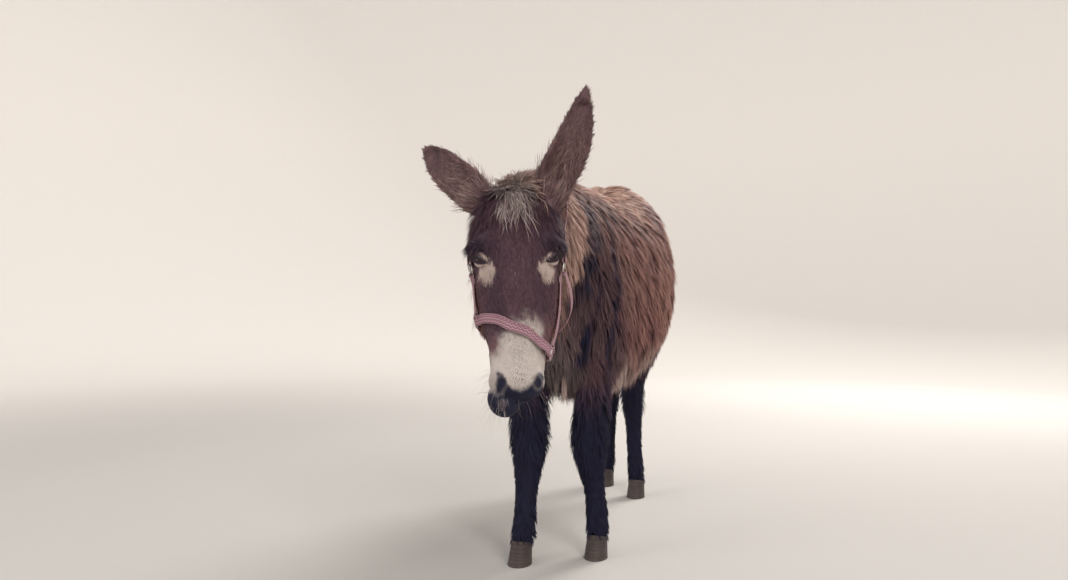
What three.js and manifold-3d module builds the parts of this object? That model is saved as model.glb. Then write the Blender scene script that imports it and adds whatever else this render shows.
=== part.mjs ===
// A donkey at life size, standing on level ground with its head lowered and turned to its left,
// in a webbing halter. Millimetres, +Z up; it faces -Y and its left side is +X.
// Every solid reaches out to the tips of the winter coat.

import * as THREE from "three";
import { mergeVertices } from "three/addons/utils/BufferGeometryUtils.js";
import Module from "manifold-3d";

const wasm = await Module();
wasm.setup();

// ---------------------------------------------------------------- driving dimensions

const GAP = 0.5; // room left between two pieces that meet
const WITHERS = 1212; // ground to the coat over the withers
const CHEST_Y = -625; // foremost point of the breast
const BODY_LENGTH = 1370; // breast to buttock
const BARREL_WIDTH = 590; // widest part of the belly
const HEAD_LENGTH = 600; // poll to chin, along the face
const HEAD_WIDTH = 268; // over the brows with their fur
const HEAD_DEPTH = 280; // face to angle of the jaw
const EAR_WIDTH = 118;
const EYEBALL = 38;
const HOOF_HEIGHT = 62;
const HOOF_WIDTH = 76;
const HOOF_LENGTH = 100;
const WEBBING = { width: 25, thick: 3 };
const WEB_LIFT = 7; // middle of the webbing over the coat
const RING = { radius: 15, bar: 2.2 };

const POLL = new THREE.Vector3(34, -948, 1102);
const HEAD_TURN = THREE.MathUtils.degToRad(18.7); // to its left
const HEAD_PITCH = THREE.MathUtils.degToRad(16); // nose ahead of the brow
const HEAD_ROLL = THREE.MathUtils.degToRad(1.5);

// ---------------------------------------------------------------- curves and solids

const v3 = (x, y, z) => new THREE.Vector3(x, y, z);

/** A smooth curve through [at, value] pairs, flat beyond both ends. */
function through(...keys) {
  const slope = (i) => {
    if (i === 0 || i === keys.length - 1) return 0;
    const before = (keys[i][1] - keys[i - 1][1]) / (keys[i][0] - keys[i - 1][0]);
    const after = (keys[i + 1][1] - keys[i][1]) / (keys[i + 1][0] - keys[i][0]);
    return before * after <= 0 ? 0 : (2 * before * after) / (before + after);
  };
  return (at) => {
    if (at <= keys[0][0]) return keys[0][1];
    for (let i = 0; i < keys.length - 1; i++) {
      const [a, from] = keys[i];
      const [b, to] = keys[i + 1];
      if (at > b) continue;
      const h = b - a;
      const t = (at - a) / h;
      const bend = (t - 1) ** 2 * t * h * slope(i) + t * t * (t - 1) * h * slope(i + 1);
      return from + (to - from) * t * t * (3 - 2 * t) + bend;
    }
    return keys[keys.length - 1][1];
  };
}

/** Numbers spread evenly from first to last, both included. */
const spread = (first, last, count) =>
  Array.from({ length: count }, (_, i) => first + ((last - first) * i) / (count - 1));

/** Angles spread evenly over one full turn. */
const turn = (count) => spread(0, 2 * Math.PI, count + 1).slice(0, -1);

/** A rounded value of cos or sin: below 1 the section grows squarer. */
const blunt = (value, power) => Math.sign(value) * Math.abs(value) ** power;

function geometry(points, faces) {
  let volume = 0;
  for (const [a, b, c] of faces) {
    volume += points[a].dot(v3().crossVectors(points[b], points[c]));
  }
  const turned = volume > 0 ? faces : faces.map(([a, b, c]) => [a, c, b]);
  const shape = new THREE.BufferGeometry();
  shape.setAttribute("position", new THREE.Float32BufferAttribute(points.flatMap((p) => p.toArray()), 3));
  shape.setIndex(turned.flat());
  return shape;
}

/** A closed skin over rings of points, with a fan over each end, `grow` larger all round. */
function loft(rings, grow = 0) {
  const around = rings[0].length;
  const middles = rings.map((ring) => {
    const sum = ring.reduce((total, p) => total.add(p), v3());
    return sum.divideScalar(around);
  });
  const last = rings.length - 1;
  const points = rings.flatMap((ring, i) => {
    const beyond = v3();
    if (i === 0) beyond.subVectors(middles[0], middles[1]).setLength(grow);
    if (i === last) beyond.subVectors(middles[last], middles[last - 1]).setLength(grow);
    return ring.map((p) => {
      const out = v3().subVectors(p, middles[i]);
      return p.clone().add(out.setLength(grow)).add(beyond);
    });
  });
  const faces = [];
  for (let i = 0; i < last; i++) {
    for (let k = 0; k < around; k++) {
      const next = (k + 1) % around;
      const a = i * around + k;
      const b = i * around + next;
      faces.push([a, b, b + around], [a, b + around, a + around]);
    }
  }
  for (const end of [0, last]) {
    const centre = points.length;
    const edge = v3();
    if (grow) edge.subVectors(middles[end], middles[end ? end - 1 : 1]).setLength(grow);
    points.push(middles[end].clone().add(edge));
    for (let k = 0; k < around; k++) {
      const a = end * around + k;
      const b = end * around + ((k + 1) % around);
      faces.push(end ? [a, b, centre] : [b, a, centre]);
    }
  }
  return geometry(points, faces);
}

function solid(shape) {
  const bare = shape.clone();
  bare.deleteAttribute("normal");
  bare.deleteAttribute("uv");
  const merged = mergeVertices(bare);
  const mesh = new wasm.Mesh({
    numProp: 3,
    vertProperties: new Float32Array(merged.attributes.position.array),
    triVerts: new Uint32Array(merged.index.array),
  });
  return new wasm.Manifold(mesh);
}

const join = (solids) => solids.reduce((whole, piece) => whole.add(piece));
const cut = (whole, ...tools) => tools.reduce((rest, tool) => rest.subtract(tool), whole);

// ---------------------------------------------------------------- looks

const finish = (color, roughness, metalness = 0) => ({ color, roughness, metalness });
const COAT = finish(0x5a4238, 0.9);
const DARK_COAT = finish(0x3a3034, 0.9);
const HORN = finish(0x2c2826, 0.6);
const EYE = finish(0x120c0a, 0.1);
const WEB = finish(0x8c6470, 0.85);
const STEEL = finish(0x9a9894, 0.35, 1);

const donkey = new THREE.Group();

function place(name, whole, look) {
  const { vertProperties, triVerts } = whole.getMesh();
  const shape = new THREE.BufferGeometry();
  shape.setAttribute("position", new THREE.Float32BufferAttribute(vertProperties, 3));
  shape.setIndex([...triVerts]);
  const mesh = new THREE.Mesh(shape, new THREE.MeshStandardMaterial(look));
  mesh.name = name;
  donkey.add(mesh);
}

// ---------------------------------------------------------------- trunk

/** Ring of an upright section: `top` and `under` are heights, `half` the half width at `waist`. */
function uprightRing(x, y, top, under, half, around, waist = 0.42) {
  const middle = under + (top - under) * waist;
  return turn(around).map((angle) => {
    const above = Math.sin(angle) > 0;
    const across = half * blunt(Math.cos(angle), above ? 1.02 : 0.9);
    const rise = (above ? top - middle : middle - under) * blunt(Math.sin(angle), 0.94);
    return v3(x + across, y, middle + rise);
  });
}

const back = through([0, 0.76], [0.03, 0.85], [0.09, 0.945], [0.17, 0.995], [0.24, 1.0], [0.36, 0.99],
  [0.46, 0.996], [0.58, 1.028], [0.71, 1.064], [0.83, 1.04], [0.925, 0.975], [0.98, 0.9], [1, 0.84]);
const belly = through([0, 0.66], [0.03, 0.59], [0.09, 0.5], [0.17, 0.45], [0.25, 0.405], [0.32, 0.392],
  [0.46, 0.405], [0.6, 0.44], [0.72, 0.5], [0.83, 0.59], [0.93, 0.68], [0.985, 0.74], [1, 0.78]);
const flank = through([0, 0.1], [0.03, 0.27], [0.09, 0.5], [0.17, 0.64], [0.26, 0.74], [0.38, 0.9],
  [0.5, 0.99], [0.6, 0.98], [0.72, 0.86], [0.83, 0.75], [0.925, 0.59], [0.98, 0.38], [1, 0.16]);

function trunk(grow) {
  const along = [0, 0.012, ...spread(0.03, 0.97, 20), 0.988, 1];
  const rings = along.map((s) => uprightRing(
    0, CHEST_Y + s * BODY_LENGTH, back(s) * WITHERS, belly(s) * WITHERS, (flank(s) * BARREL_WIDTH) / 2, 22));
  return loft(rings, grow);
}

// ---------------------------------------------------------------- legs and hooves

/** A leg of level rings: `bones` are its joints from the top down, wide and deep its half sizes by height. */
function leg(bones, wide, deep, grow) {
  const line = new THREE.CatmullRomCurve3(bones.map((bone) => v3(...bone)), false, "centripetal");
  const rings = spread(0, 1, 19).map((s) => {
    const at = line.getPoint(s);
    const slope = 0.3 * THREE.MathUtils.smoothstep(130 - at.z, 0, 60); // the coronet falls to the heel
    return turn(12).map((angle) => {
      const y = deep(at.z) * blunt(Math.sin(angle), 0.95);
      return v3(at.x + wide(at.z) * blunt(Math.cos(angle), 0.95), at.y + y, at.z - slope * y);
    });
  });
  return loft(rings, grow);
}

const foreWide = through([62, 36], [90, 34], [130, 39], [170, 35], [230, 36], [280, 46], [320, 56],
  [370, 64], [450, 63], [560, 62], [720, 50]);
const foreDeep = through([62, 46], [90, 43], [130, 51], [170, 43], [230, 42], [280, 48], [320, 57],
  [370, 60], [450, 66], [560, 84], [720, 90]);
const hindWide = through([62, 34], [90, 31], [130, 36], [170, 32], [280, 32], [360, 38], [430, 48],
  [480, 50], [560, 64], [660, 84], [760, 90], [900, 66]);
const hindDeep = through([62, 46], [90, 42], [130, 50], [170, 42], [280, 43], [360, 52], [430, 70],
  [480, 75], [560, 98], [660, 142], [760, 175], [900, 178]);

const LEGS = [
  { name: "foreleg_left", wide: foreWide, deep: foreDeep,
    bones: [[104, -350, 720], [100, -358, 560], [90, -372, 400], [88, -377, 310], [102, -362, 210],
      [108, -352, 130], [112, -368, HOOF_HEIGHT]] },
  { name: "foreleg_right", wide: foreWide, deep: foreDeep,
    bones: [[-112, -365, 720], [-110, -385, 560], [-96, -422, 400], [-90, -440, 310], [-92, -462, 210],
      [-93, -474, 130], [-95, -500, HOOF_HEIGHT]] },
  { name: "hindleg_left", wide: hindWide, deep: hindDeep,
    bones: [[122, 516, 900], [134, 482, 740], [100, 478, 580], [56, 508, 450], [60, 504, 300],
      [70, 492, 130], [80, 468, HOOF_HEIGHT]] },
  { name: "hindleg_right", wide: hindWide, deep: hindDeep,
    bones: [[-122, 520, 900], [-134, 514, 740], [-112, 574, 580], [-76, 668, 450], [-80, 672, 300],
      [-84, 668, 130], [-86, 645, HOOF_HEIGHT]] },
];

/** A hoof under a coronet at (x, y): a blunt cone, longer at the toe, flat on the ground. */
function hoof(x, y, grow) {
  const heights = [0, 0.12, 0.62, 1];
  const rings = heights.map((h) => {
    const wide = (HOOF_WIDTH / 2) * (1 - 0.13 * h);
    const deep = (HOOF_LENGTH / 2) * (1 - 0.12 * h);
    const ahead = y - 20 * (1 - h);
    return turn(14).map((angle) => {
      const dy = deep * Math.sin(angle);
      const z = (HOOF_HEIGHT - GAP) * h - 0.3 * h * dy;
      return v3(x + wide * Math.cos(angle), ahead + dy, z);
    });
  });
  return loft(rings, grow);
}

// ---------------------------------------------------------------- neck and tail

const NECK = { from: -300, to: -885 };
const crest = through([0, 1180], [0.2, 1202], [0.45, 1190], [0.7, 1172], [0.9, 1152], [1, 1130]);
const throat = through([0, 700], [0.3, 700], [0.55, 765], [0.73, 820], [0.9, 900], [1, 985]);
const neckHalf = through([0, 130], [0.2, 160], [0.4, 158], [0.6, 140], [0.8, 124], [0.92, 106], [1, 80]);

function neck(grow) {
  const rings = spread(0, 1, 12).map((s) => uprightRing(
    12 * s ** 2, NECK.from + (NECK.to - NECK.from) * s, crest(s), throat(s), neckHalf(s), 18, 0.5));
  return loft(rings, grow);
}

const tailThick = through([330, 8], [370, 24], [450, 36], [540, 34], [640, 25], [800, 24], [980, 32],
  [1110, 42]);

function tail(grow) {
  const line = new THREE.CatmullRomCurve3([v3(0, 672, 1108), v3(0, 742, 1060), v3(-2, 776, 940),
    v3(-4, 782, 780), v3(-6, 784, 560), v3(-6, 780, 330)]);
  const rings = spread(0, 1, 13).map((s) => {
    const at = line.getPoint(s);
    const radius = tailThick(at.z);
    return turn(9).map((angle) =>
      v3(at.x + radius * Math.cos(angle), at.y + 0.85 * radius * Math.sin(angle), at.z));
  });
  return loft(rings, grow);
}

// ---------------------------------------------------------------- head

// The head is set out from the poll: `down` runs along the face to the nose, `inward` from the
// face to the throat, and `side` to the animal's left. The halter and eyes use the same three.
const turned = new THREE.Matrix4().makeTranslation(POLL.x, POLL.y, POLL.z)
  .multiply(new THREE.Matrix4().makeRotationZ(HEAD_TURN))
  .multiply(new THREE.Matrix4().makeRotationY(-HEAD_ROLL));

/** A point given in the turned frame: side, backward, up from the poll. */
const byPoll = (side, backward, up) => v3(side, backward, up).applyMatrix4(turned);

/** A point given along the pitched face. */
const byFace = (side, inward, down) => byPoll(
  side,
  inward * Math.cos(HEAD_PITCH) - down * Math.sin(HEAD_PITCH),
  -down * Math.cos(HEAD_PITCH) - inward * Math.sin(HEAD_PITCH));

const L = HEAD_LENGTH;
const faceLine = through([-0.055, 74], [-0.03, 44], [0, 24], [0.08, 6], [0.17, 0], [0.36, -3], [0.5, 0],
  [0.66, 5], [0.76, 6], [0.83, 2], [0.87, 9], [0.893, 26], [0.908, 48]);
const jawLine = through([-0.055, 0.48], [0, 0.62], [0.08, 0.7], [0.2, 0.83], [0.32, 0.95], [0.43, 1.0],
  [0.54, 0.92], [0.63, 0.77], [0.73, 0.6], [0.8, 0.52], [0.86, 0.46], [0.908, 0.34]);
const bridge = through([-0.055, 0.18], [-0.03, 0.34], [0, 0.44], [0.08, 0.52], [0.2, 0.57], [0.3, 0.56],
  [0.38, 0.5], [0.47, 0.43], [0.6, 0.37], [0.72, 0.35], [0.8, 0.35], [0.85, 0.38], [0.885, 0.3],
  [0.908, 0.1]);
const brow = through([-0.055, 0.24], [-0.03, 0.46], [0, 0.63], [0.08, 0.81], [0.16, 0.89], [0.24, 0.92],
  [0.3, 0.87], [0.37, 0.8], [0.47, 0.75], [0.6, 0.65], [0.7, 0.54], [0.8, 0.445], [0.845, 0.475],
  [0.885, 0.37], [0.908, 0.14]);
const cheek = through([-0.055, 0.24], [-0.03, 0.46], [0, 0.6], [0.08, 0.72], [0.2, 0.79], [0.33, 0.81],
  [0.47, 0.79], [0.57, 0.73], [0.66, 0.61], [0.73, 0.5], [0.8, 0.44], [0.85, 0.43], [0.885, 0.35],
  [0.908, 0.14]);
const jawHalf = through([-0.055, 0.16], [0, 0.4], [0.1, 0.48], [0.25, 0.5], [0.4, 0.4], [0.6, 0.32],
  [0.8, 0.26], [0.885, 0.24], [0.908, 0.1]);

/** A point on the head's outline at `s` of its length; angle 0 is the face, half a turn the jaw. */
function headPoint(s, angle) {
  const part = (1 - Math.cos(angle)) / 2;
  const half = through([0, bridge(s)], [0.28, brow(s)], [0.62, cheek(s)], [1, jawHalf(s)])(part);
  const front = faceLine(s);
  const depth = jawLine(s) * HEAD_DEPTH - front;
  const side = ((half * HEAD_WIDTH) / 2) * blunt(Math.sin(angle), 0.5);
  return byFace(side, front + depth * part, s * L);
}

function head(grow) {
  const rings = [-0.055, -0.045, -0.025, ...spread(0, 0.88, 21), 0.896, 0.908].map((s) =>
    turn(22).map((angle) => headPoint(s, angle)));
  return loft(rings, grow);
}

/** The lower lip and chin, pushed to the animal's right as it chews. */
function chin(grow) {
  const ball = new THREE.SphereGeometry(1, 12, 8);
  ball.scale(40 + grow, 46 + grow, 39 + grow);
  ball.rotateX(-0.35);
  const centre = byFace(-38, 84, 0.906 * L);
  ball.translate(centre.x, centre.y, centre.z);
  return ball;
}

const EYES = { side: 86, inward: 46, down: 187 };

function eye(side, grow) {
  const ball = new THREE.SphereGeometry(EYEBALL / 2 + grow, 12, 8);
  const centre = byFace(side * EYES.side, EYES.inward, EYES.down);
  ball.rotateX(Math.PI / 2);
  ball.translate(centre.x, centre.y, centre.z);
  return ball;
}

// ---------------------------------------------------------------- ears

const earWide = through([0, 0.72], [0.14, 0.86], [0.3, 0.98], [0.5, 0.96], [0.66, 0.92], [0.8, 0.76],
  [0.92, 0.47], [1, 0.14]);
const earDeep = through([0, 36], [0.15, 34], [0.35, 27], [0.6, 20], [0.8, 14], [0.93, 9], [1, 4]);

/** An ear: `line` is its middle, `facing` the way its mouth opens. */
function ear(line, facing, grow) {
  const curve = new THREE.CatmullRomCurve3(line);
  const ringAt = (s, wide, deep, ahead) => {
    const at = curve.getPoint(s);
    const along = curve.getTangent(s);
    const open = facing.clone().addScaledVector(along, -facing.dot(along)).normalize();
    const across = v3().crossVectors(along, open);
    return turn(12).map((angle) => at.clone()
      .addScaledVector(across, wide * Math.cos(angle))
      .addScaledVector(open, ahead + deep * Math.sin(angle)));
  };
  const half = EAR_WIDTH / 2;
  const outer = loft(spread(0, 1, 12).map((s) => ringAt(s, half * earWide(s), earDeep(s), 0)), grow);
  if (grow) return solid(outer);
  const hollow = loft(spread(0.16, 0.9, 9).map((s) =>
    ringAt(s, half * earWide(s) - 9, earDeep(s) * 1.15, earDeep(s) * 0.62)));
  return cut(solid(outer), solid(hollow));
}

const leftEar = [byPoll(76, 72, -70), byPoll(108, 84, 20), byPoll(143, 86, 85), byPoll(169, 82, 150),
  byPoll(194, 70, 262)];
const rightEar = [byPoll(-74, 75, -48), byPoll(-120, 112, 2), byPoll(-166, 165, 47), byPoll(-210, 222, 92),
  byPoll(-258, 282, 146)];
const facing = (x, y, z) => v3(x, y, z).transformDirection(turned);
const leftMouth = facing(0.32, -0.95, 0.05);
const rightMouth = facing(-0.25, -0.9, -0.25);

// ---------------------------------------------------------------- halter

/** Webbing through `stations`, each a place on its middle line and the way its face looks there. */
function webbing(stations, grow) {
  const rings = stations.map(([at, out], i) => {
    const before = stations[Math.max(i - 1, 0)][0];
    const after = stations[Math.min(i + 1, stations.length - 1)][0];
    const along = v3().subVectors(after, before).normalize();
    const face = out.clone().addScaledVector(along, -out.dot(along)).normalize();
    const across = v3().crossVectors(along, face);
    const corner = (a, b) => at.clone()
      .addScaledVector(across, a * (WEBBING.width / 2 + grow))
      .addScaledVector(face, b * (WEBBING.thick / 2 + grow));
    return [corner(1, 1), corner(-1, 1), corner(-1, -1), corner(1, -1)];
  });
  return solid(loft(rings));
}

/** A place lifted off the head at `s` and `angle`, and the way out of the surface there. */
function offHead(s, angle, lift) {
  const down = v3().subVectors(headPoint(s + 0.01, angle), headPoint(s - 0.01, angle));
  const around = v3().subVectors(headPoint(s, angle + 0.03), headPoint(s, angle - 0.03));
  const out = down.cross(around).normalize();
  return [headPoint(s, angle).addScaledVector(out, lift), out];
}

/** Stations along a hanging line, facing away from `centre`. */
const hanging = (line, centre, count) => new THREE.CatmullRomCurve3(line).getPoints(count).map((at) =>
  [at, v3().subVectors(at, centre).normalize()]);

// Turns about the head, from the face: where the rings and buckles sit, and how far from their
// middles the webbing starts.
const SIDE = 1.45;
const BESIDE_RING = 0.2;
const BUCKLE = { s: 0.32, angle: 1.36 };
const CLEAR = 0.034; // the same distance along the face

/** How far down the face the slack noseband lies; it hangs lower on the left. */
const bandHeight = (angle) => 0.627 + 0.08 * Math.sin(angle);

const band = (from, to, count, lift) =>
  spread(from, to, count).map((angle) => offHead(bandHeight(angle), angle, lift));

const noseband = (grow) =>
  webbing(band(BESIDE_RING - SIDE, SIDE - BESIDE_RING, 23, WEB_LIFT), grow);
const chinStrap = (grow) =>
  webbing(band(SIDE + BESIDE_RING, 2 * Math.PI - SIDE - BESIDE_RING, 23, WEB_LIFT), grow);

function cheekStrap(side, grow) {
  const steps = 10;
  const line = spread(bandHeight(side * SIDE) - CLEAR, BUCKLE.s + CLEAR, steps + 1).map((s, i) =>
    offHead(s, side * (SIDE + ((BUCKLE.angle - SIDE) * i) / steps), WEB_LIFT));
  return webbing(line, grow);
}

function crownpiece(grow) {
  const half = (side) => [byPoll(side * 124, 46, -182), byPoll(7 + side * 131, 102, -128),
    byPoll(20 + side * 131, 152, -66), byPoll(32 + side * 112, 172, -4), byPoll(33 + side * 66, 175, 42)];
  const line = [...half(1), byPoll(33, 176, 63), ...half(-1).reverse()];
  return webbing(hanging(line, byPoll(15, 130, -80), 26), grow);
}

/** The throat strap hangs behind the jaw from buckle to buckle, looser on the left. */
function throatStrap(grow) {
  const half = (side) => [offHead(BUCKLE.s + 0.01, side * (BUCKLE.angle + 0.17), 11)[0],
    byFace(9 + side * 121, 165, 245), byFace(9 + side * 119, 222, 292), byFace(side * 92, 276, 326)];
  const line = [...half(1), byFace(0, 298, 340), ...half(-1).reverse()];
  return webbing(hanging(line, byFace(0, 150, 190), 24), grow);
}

/** A steel ring lying flat at `s` down the face and `angle` round it. */
function ring(s, angle) {
  const hoop = new THREE.TorusGeometry(RING.radius, RING.bar, 6, 12);
  const [at, out] = offHead(s, angle, WEB_LIFT + RING.bar);
  hoop.applyQuaternion(new THREE.Quaternion().setFromUnitVectors(v3(0, 0, 1), out));
  hoop.translate(at.x, at.y, at.z);
  return solid(hoop);
}

// ---------------------------------------------------------------- assembly

/** A large block filling one side of the slanting line between neck and shoulder. */
function aheadOfShoulder(grow) {
  const block = new THREE.BoxGeometry(1200, 1200, 2400);
  block.translate(0, -600 + grow, 0);
  block.rotateX(THREE.MathUtils.degToRad(-29));
  block.translate(0, -405, 1220);
  return solid(block);
}

const room = (build, ...args) => solid(build(...args, GAP));

const headRoom = join([room(head), room(chin)]);
const eyeRooms = [1, -1].map((side) => room(eye, side));
const earRooms = [ear(leftEar, leftMouth, GAP), ear(rightEar, rightMouth, GAP)];
const strapRooms = [noseband(GAP), chinStrap(GAP), cheekStrap(1, GAP), cheekStrap(-1, GAP), throatStrap(GAP),
  crownpiece(GAP)];
const trunkRoom = room(trunk);
const body = join([solid(trunk(0)), solid(neck(0))]);

place("trunk", cut(body, aheadOfShoulder(GAP)), COAT);
place("neck", cut(body.intersect(aheadOfShoulder(0)), headRoom, ...earRooms, ...strapRooms), COAT);
for (const { name, bones, wide, deep } of LEGS) {
  const [x, y] = bones.at(-1);
  place(name, cut(solid(leg(bones, wide, deep, 0)), trunkRoom), DARK_COAT);
  place(name.replace("leg", "hoof"), solid(hoof(x, y, 0)), HORN);
}
place("tail", cut(solid(tail(0)), trunkRoom), DARK_COAT);
place("head", cut(join([solid(head(0)), solid(chin(0))]), ...eyeRooms, ...strapRooms), COAT);
place("ear_left", cut(ear(leftEar, leftMouth, 0), headRoom, ...strapRooms), COAT);
place("ear_right", cut(ear(rightEar, rightMouth, 0), headRoom, ...strapRooms), COAT);
place("noseband", noseband(0), WEB);
place("chin_strap", chinStrap(0), WEB);
place("crownpiece", crownpiece(0), WEB);
place("throat_strap", throatStrap(0), WEB);
for (const [name, side] of [["left", 1], ["right", -1]]) {
  place(`eye_${name}`, solid(eye(side, 0)), EYE);
  place(`cheek_strap_${name}`, cheekStrap(side, 0), WEB);
  place(`ring_${name}`, ring(bandHeight(side * SIDE), side * SIDE), STEEL);
  place(`buckle_${name}`, ring(BUCKLE.s, side * BUCKLE.angle), STEEL);
}

// The origin goes to the middle of the donkey's length and width, on the ground.
const bounds = new THREE.Box3().setFromObject(donkey);
const middle = bounds.getCenter(v3());
donkey.position.set(-middle.x, -middle.y, -bounds.min.z);

export default donkey;
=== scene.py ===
"""A life-size donkey in its winter coat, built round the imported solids.

Metres. +Z is up, the donkey faces -Y and its left side is +X.
"""

import itertools
import math

import bmesh
import bpy
import numpy as np
from bpy.props import FloatProperty, FloatVectorProperty, IntProperty, PointerProperty
from mathutils import Matrix, Vector
from mathutils.kdtree import KDTree


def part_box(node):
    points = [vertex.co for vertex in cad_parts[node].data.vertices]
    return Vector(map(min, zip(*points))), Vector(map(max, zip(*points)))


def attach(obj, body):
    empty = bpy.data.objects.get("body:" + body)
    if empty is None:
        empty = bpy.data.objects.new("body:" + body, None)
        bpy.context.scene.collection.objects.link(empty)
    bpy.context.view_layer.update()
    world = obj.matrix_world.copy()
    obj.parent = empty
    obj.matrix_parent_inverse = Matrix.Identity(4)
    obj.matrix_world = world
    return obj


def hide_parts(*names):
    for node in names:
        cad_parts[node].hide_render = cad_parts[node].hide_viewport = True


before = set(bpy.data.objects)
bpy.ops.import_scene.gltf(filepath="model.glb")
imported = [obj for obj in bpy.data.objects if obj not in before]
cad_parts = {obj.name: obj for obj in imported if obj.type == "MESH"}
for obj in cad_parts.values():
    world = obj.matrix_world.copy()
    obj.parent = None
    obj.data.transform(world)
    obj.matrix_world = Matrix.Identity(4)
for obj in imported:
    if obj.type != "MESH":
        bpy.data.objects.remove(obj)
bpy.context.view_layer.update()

bl_info = {
    "name": "Donkey",
    "version": (1, 0, 0),
    "blender": (4, 5, 0),
    "location": "View3D > Sidebar > Donkey",
    "description": "Skin, coat, eyes, hooves and halter of a standing donkey",
    "category": "Object",
}

SIDES = {"left": 1.0, "right": -1.0}
LEGS = ("foreleg_left", "foreleg_right", "hindleg_left", "hindleg_right")
FLESH = ("trunk", "neck", "head", "ear_left", "ear_right", "tail", *LEGS)
TRUNK, NECK, HEAD, EAR_LEFT, EAR_RIGHT, TAIL = range(6)
LEG_PARTS = tuple(range(6, len(FLESH)))


# ------------------------------------------------------------------ settings


def colour(name, description, r, g, b):
    """A colour setting whose default is given as it looks on a screen, from 0 to 255."""
    linear = [(v / 255 / 12.92 if v < 11 else ((v / 255 + 0.055) / 1.055) ** 2.4) for v in (r, g, b)]
    return FloatVectorProperty(
        name=name, description=description, default=linear, subtype="COLOR", size=3, min=0, max=1)


def length(name, description, default):
    """A setting in metres."""
    return FloatProperty(name=name, description=description, default=default, unit="LENGTH", min=0)


class SkinSettings(bpy.types.PropertyGroup):
    voxel: length("Grain", "Edge of the skin's faces on the head", 0.0036)
    faces: IntProperty(name="Faces", description="Triangles in the whole skin", default=150000, min=1000)


class CoatSettings(bpy.types.PropertyGroup):
    root: colour("Root", "Base of the body hair", 44, 33, 50)
    tip: colour("Tip", "Ends of the body hair", 122, 88, 90)
    ruddy: colour("Ruddy", "Red-brown ends on cheeks, chest and flanks", 150, 104, 92)
    # The bleached colour also serves as painted highlight: the pale top of the back where light from behind
    # falls.
    bleach: colour("Bleached", "Sun-faded hair on the back and forelock", 206, 172, 156)
    pale: colour("Pale", "Muzzle, eye rings and belly", 184, 174, 168)
    # Dark also stands for painted shade on the neck, over the eyes and on the lower legs.
    dark: colour("Dark", "Nose, lips, lids and lower legs", 27, 27, 48)
    thickness: FloatProperty(
        name="Thickness", description="Share of the full number of tufts", default=1.0, min=0.01, max=1.2)


class HalterSettings(bpy.types.PropertyGroup):
    web: colour("Webbing", "Faded woven webbing", 138, 100, 112)
    fleck: colour("Fleck", "Pale zigzag woven into the webbing", 192, 158, 164)
    steel: colour("Steel", "Rings and buckles", 176, 172, 166)
    thread: colour("Thread", "Stitches", 186, 160, 164)


class EyeSettings(bpy.types.PropertyGroup):
    iris: colour("Iris", "Brown of the eye", 34, 20, 18)
    half_width: length("Opening", "Half the width between the corners of the eye", 0.0175)


class StageSettings(bpy.types.PropertyGroup):
    floor: colour("Floor", "Pale floor and backdrop", 236, 232, 228)
    distance: length("Distance", "Camera to the middle of the donkey", 2.95)
    height: length("Height", "Camera over the floor", 0.815)
    lens: FloatProperty(name="Lens", description="Focal length", default=28.65, min=1, unit="CAMERA")


GROUPS = {
    "donkey_skin": SkinSettings,
    "donkey_coat": CoatSettings,
    "donkey_halter": HalterSettings,
    "donkey_eyes": EyeSettings,
    "donkey_stage": StageSettings,
}


def settings(group):
    """The scene's settings of that group."""
    return getattr(bpy.context.scene, "donkey_" + group)


# ------------------------------------------------------------------ numbers and arrays


def unit(vectors):
    """Vectors, one or many, cut to length 1."""
    return vectors / np.maximum(np.linalg.norm(vectors, axis=-1, keepdims=True), 1e-12)


def step(low, high, values):
    """0 below low, 1 above high and a smooth rise between, which falls when high is the lower."""
    t = np.clip((values - low) / (high - low), 0, 1)
    return t * t * (3 - 2 * t)


def flatten(vectors, normals):
    """The part of each vector that lies along the surface."""
    return vectors - normals * (vectors * normals).sum(1, keepdims=True)


def full_turn(count):
    """Angles set evenly round a circle."""
    return np.linspace(0, 2 * math.pi, count + 1)[:-1]


def distances(line):
    """How far along a line of points each of them is."""
    return np.concatenate([[0], np.cumsum(np.linalg.norm(np.diff(line, axis=0), axis=1))])


def scatter(keys, seed):
    """Three even random numbers for each row of whole numbers."""
    k = (keys.astype(np.int64) + 4096).astype(np.uint64)
    mixed = k[:, 0] * np.uint64(73856093) ^ k[:, 1] * np.uint64(19349663) ^ k[:, 2] * np.uint64(83492791)
    out = []
    for turn in range(3):
        mixed = mixed * np.uint64(6364136223846793005) + np.uint64(1442695040888963407 + seed + turn)
        out.append((mixed >> np.uint64(40)).astype(float) / 2**24)
        mixed ^= mixed >> np.uint64(29)
    return np.stack(out, 1)


def cells(points, size, seed):
    """For each point, the nearest of a jittered lattice of centres, and that centre's random number."""
    home = np.floor(points / size)
    best = np.full(len(points), np.inf)
    centres = np.zeros_like(points)
    chance = np.zeros(len(points))
    for shift in itertools.product((-1, 0, 1), repeat=3):
        keys = home + shift
        spread = scatter(keys, seed)
        middle = (keys + spread) * size
        away = ((middle - points) ** 2).sum(1)
        near = away < best
        best[near] = away[near]
        centres[near] = middle[near]
        chance[near] = (spread[near].sum(1) * 7.3) % 1
    return centres, chance


def mottle(points, size, seed):
    """Smooth noise from 0 to 1 with patches about `size` across."""
    scaled = points / size
    home = np.floor(scaled)
    t = scaled - home
    t = t * t * (3 - 2 * t)
    total = np.zeros(len(points))
    for corner in itertools.product((0, 1), repeat=3):
        share = np.prod(np.where(np.array(corner) == 1, t, 1 - t), axis=1)
        total += share * scatter(home + corner, seed)[:, 0]
    return total


# ------------------------------------------------------------------ the frame


def corners(node):
    """Lowest and highest corner of a CAD node's box."""
    low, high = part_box(node)
    return np.array(low), np.array(high)


def middle(node):
    return sum(corners(node)) / 2


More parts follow.
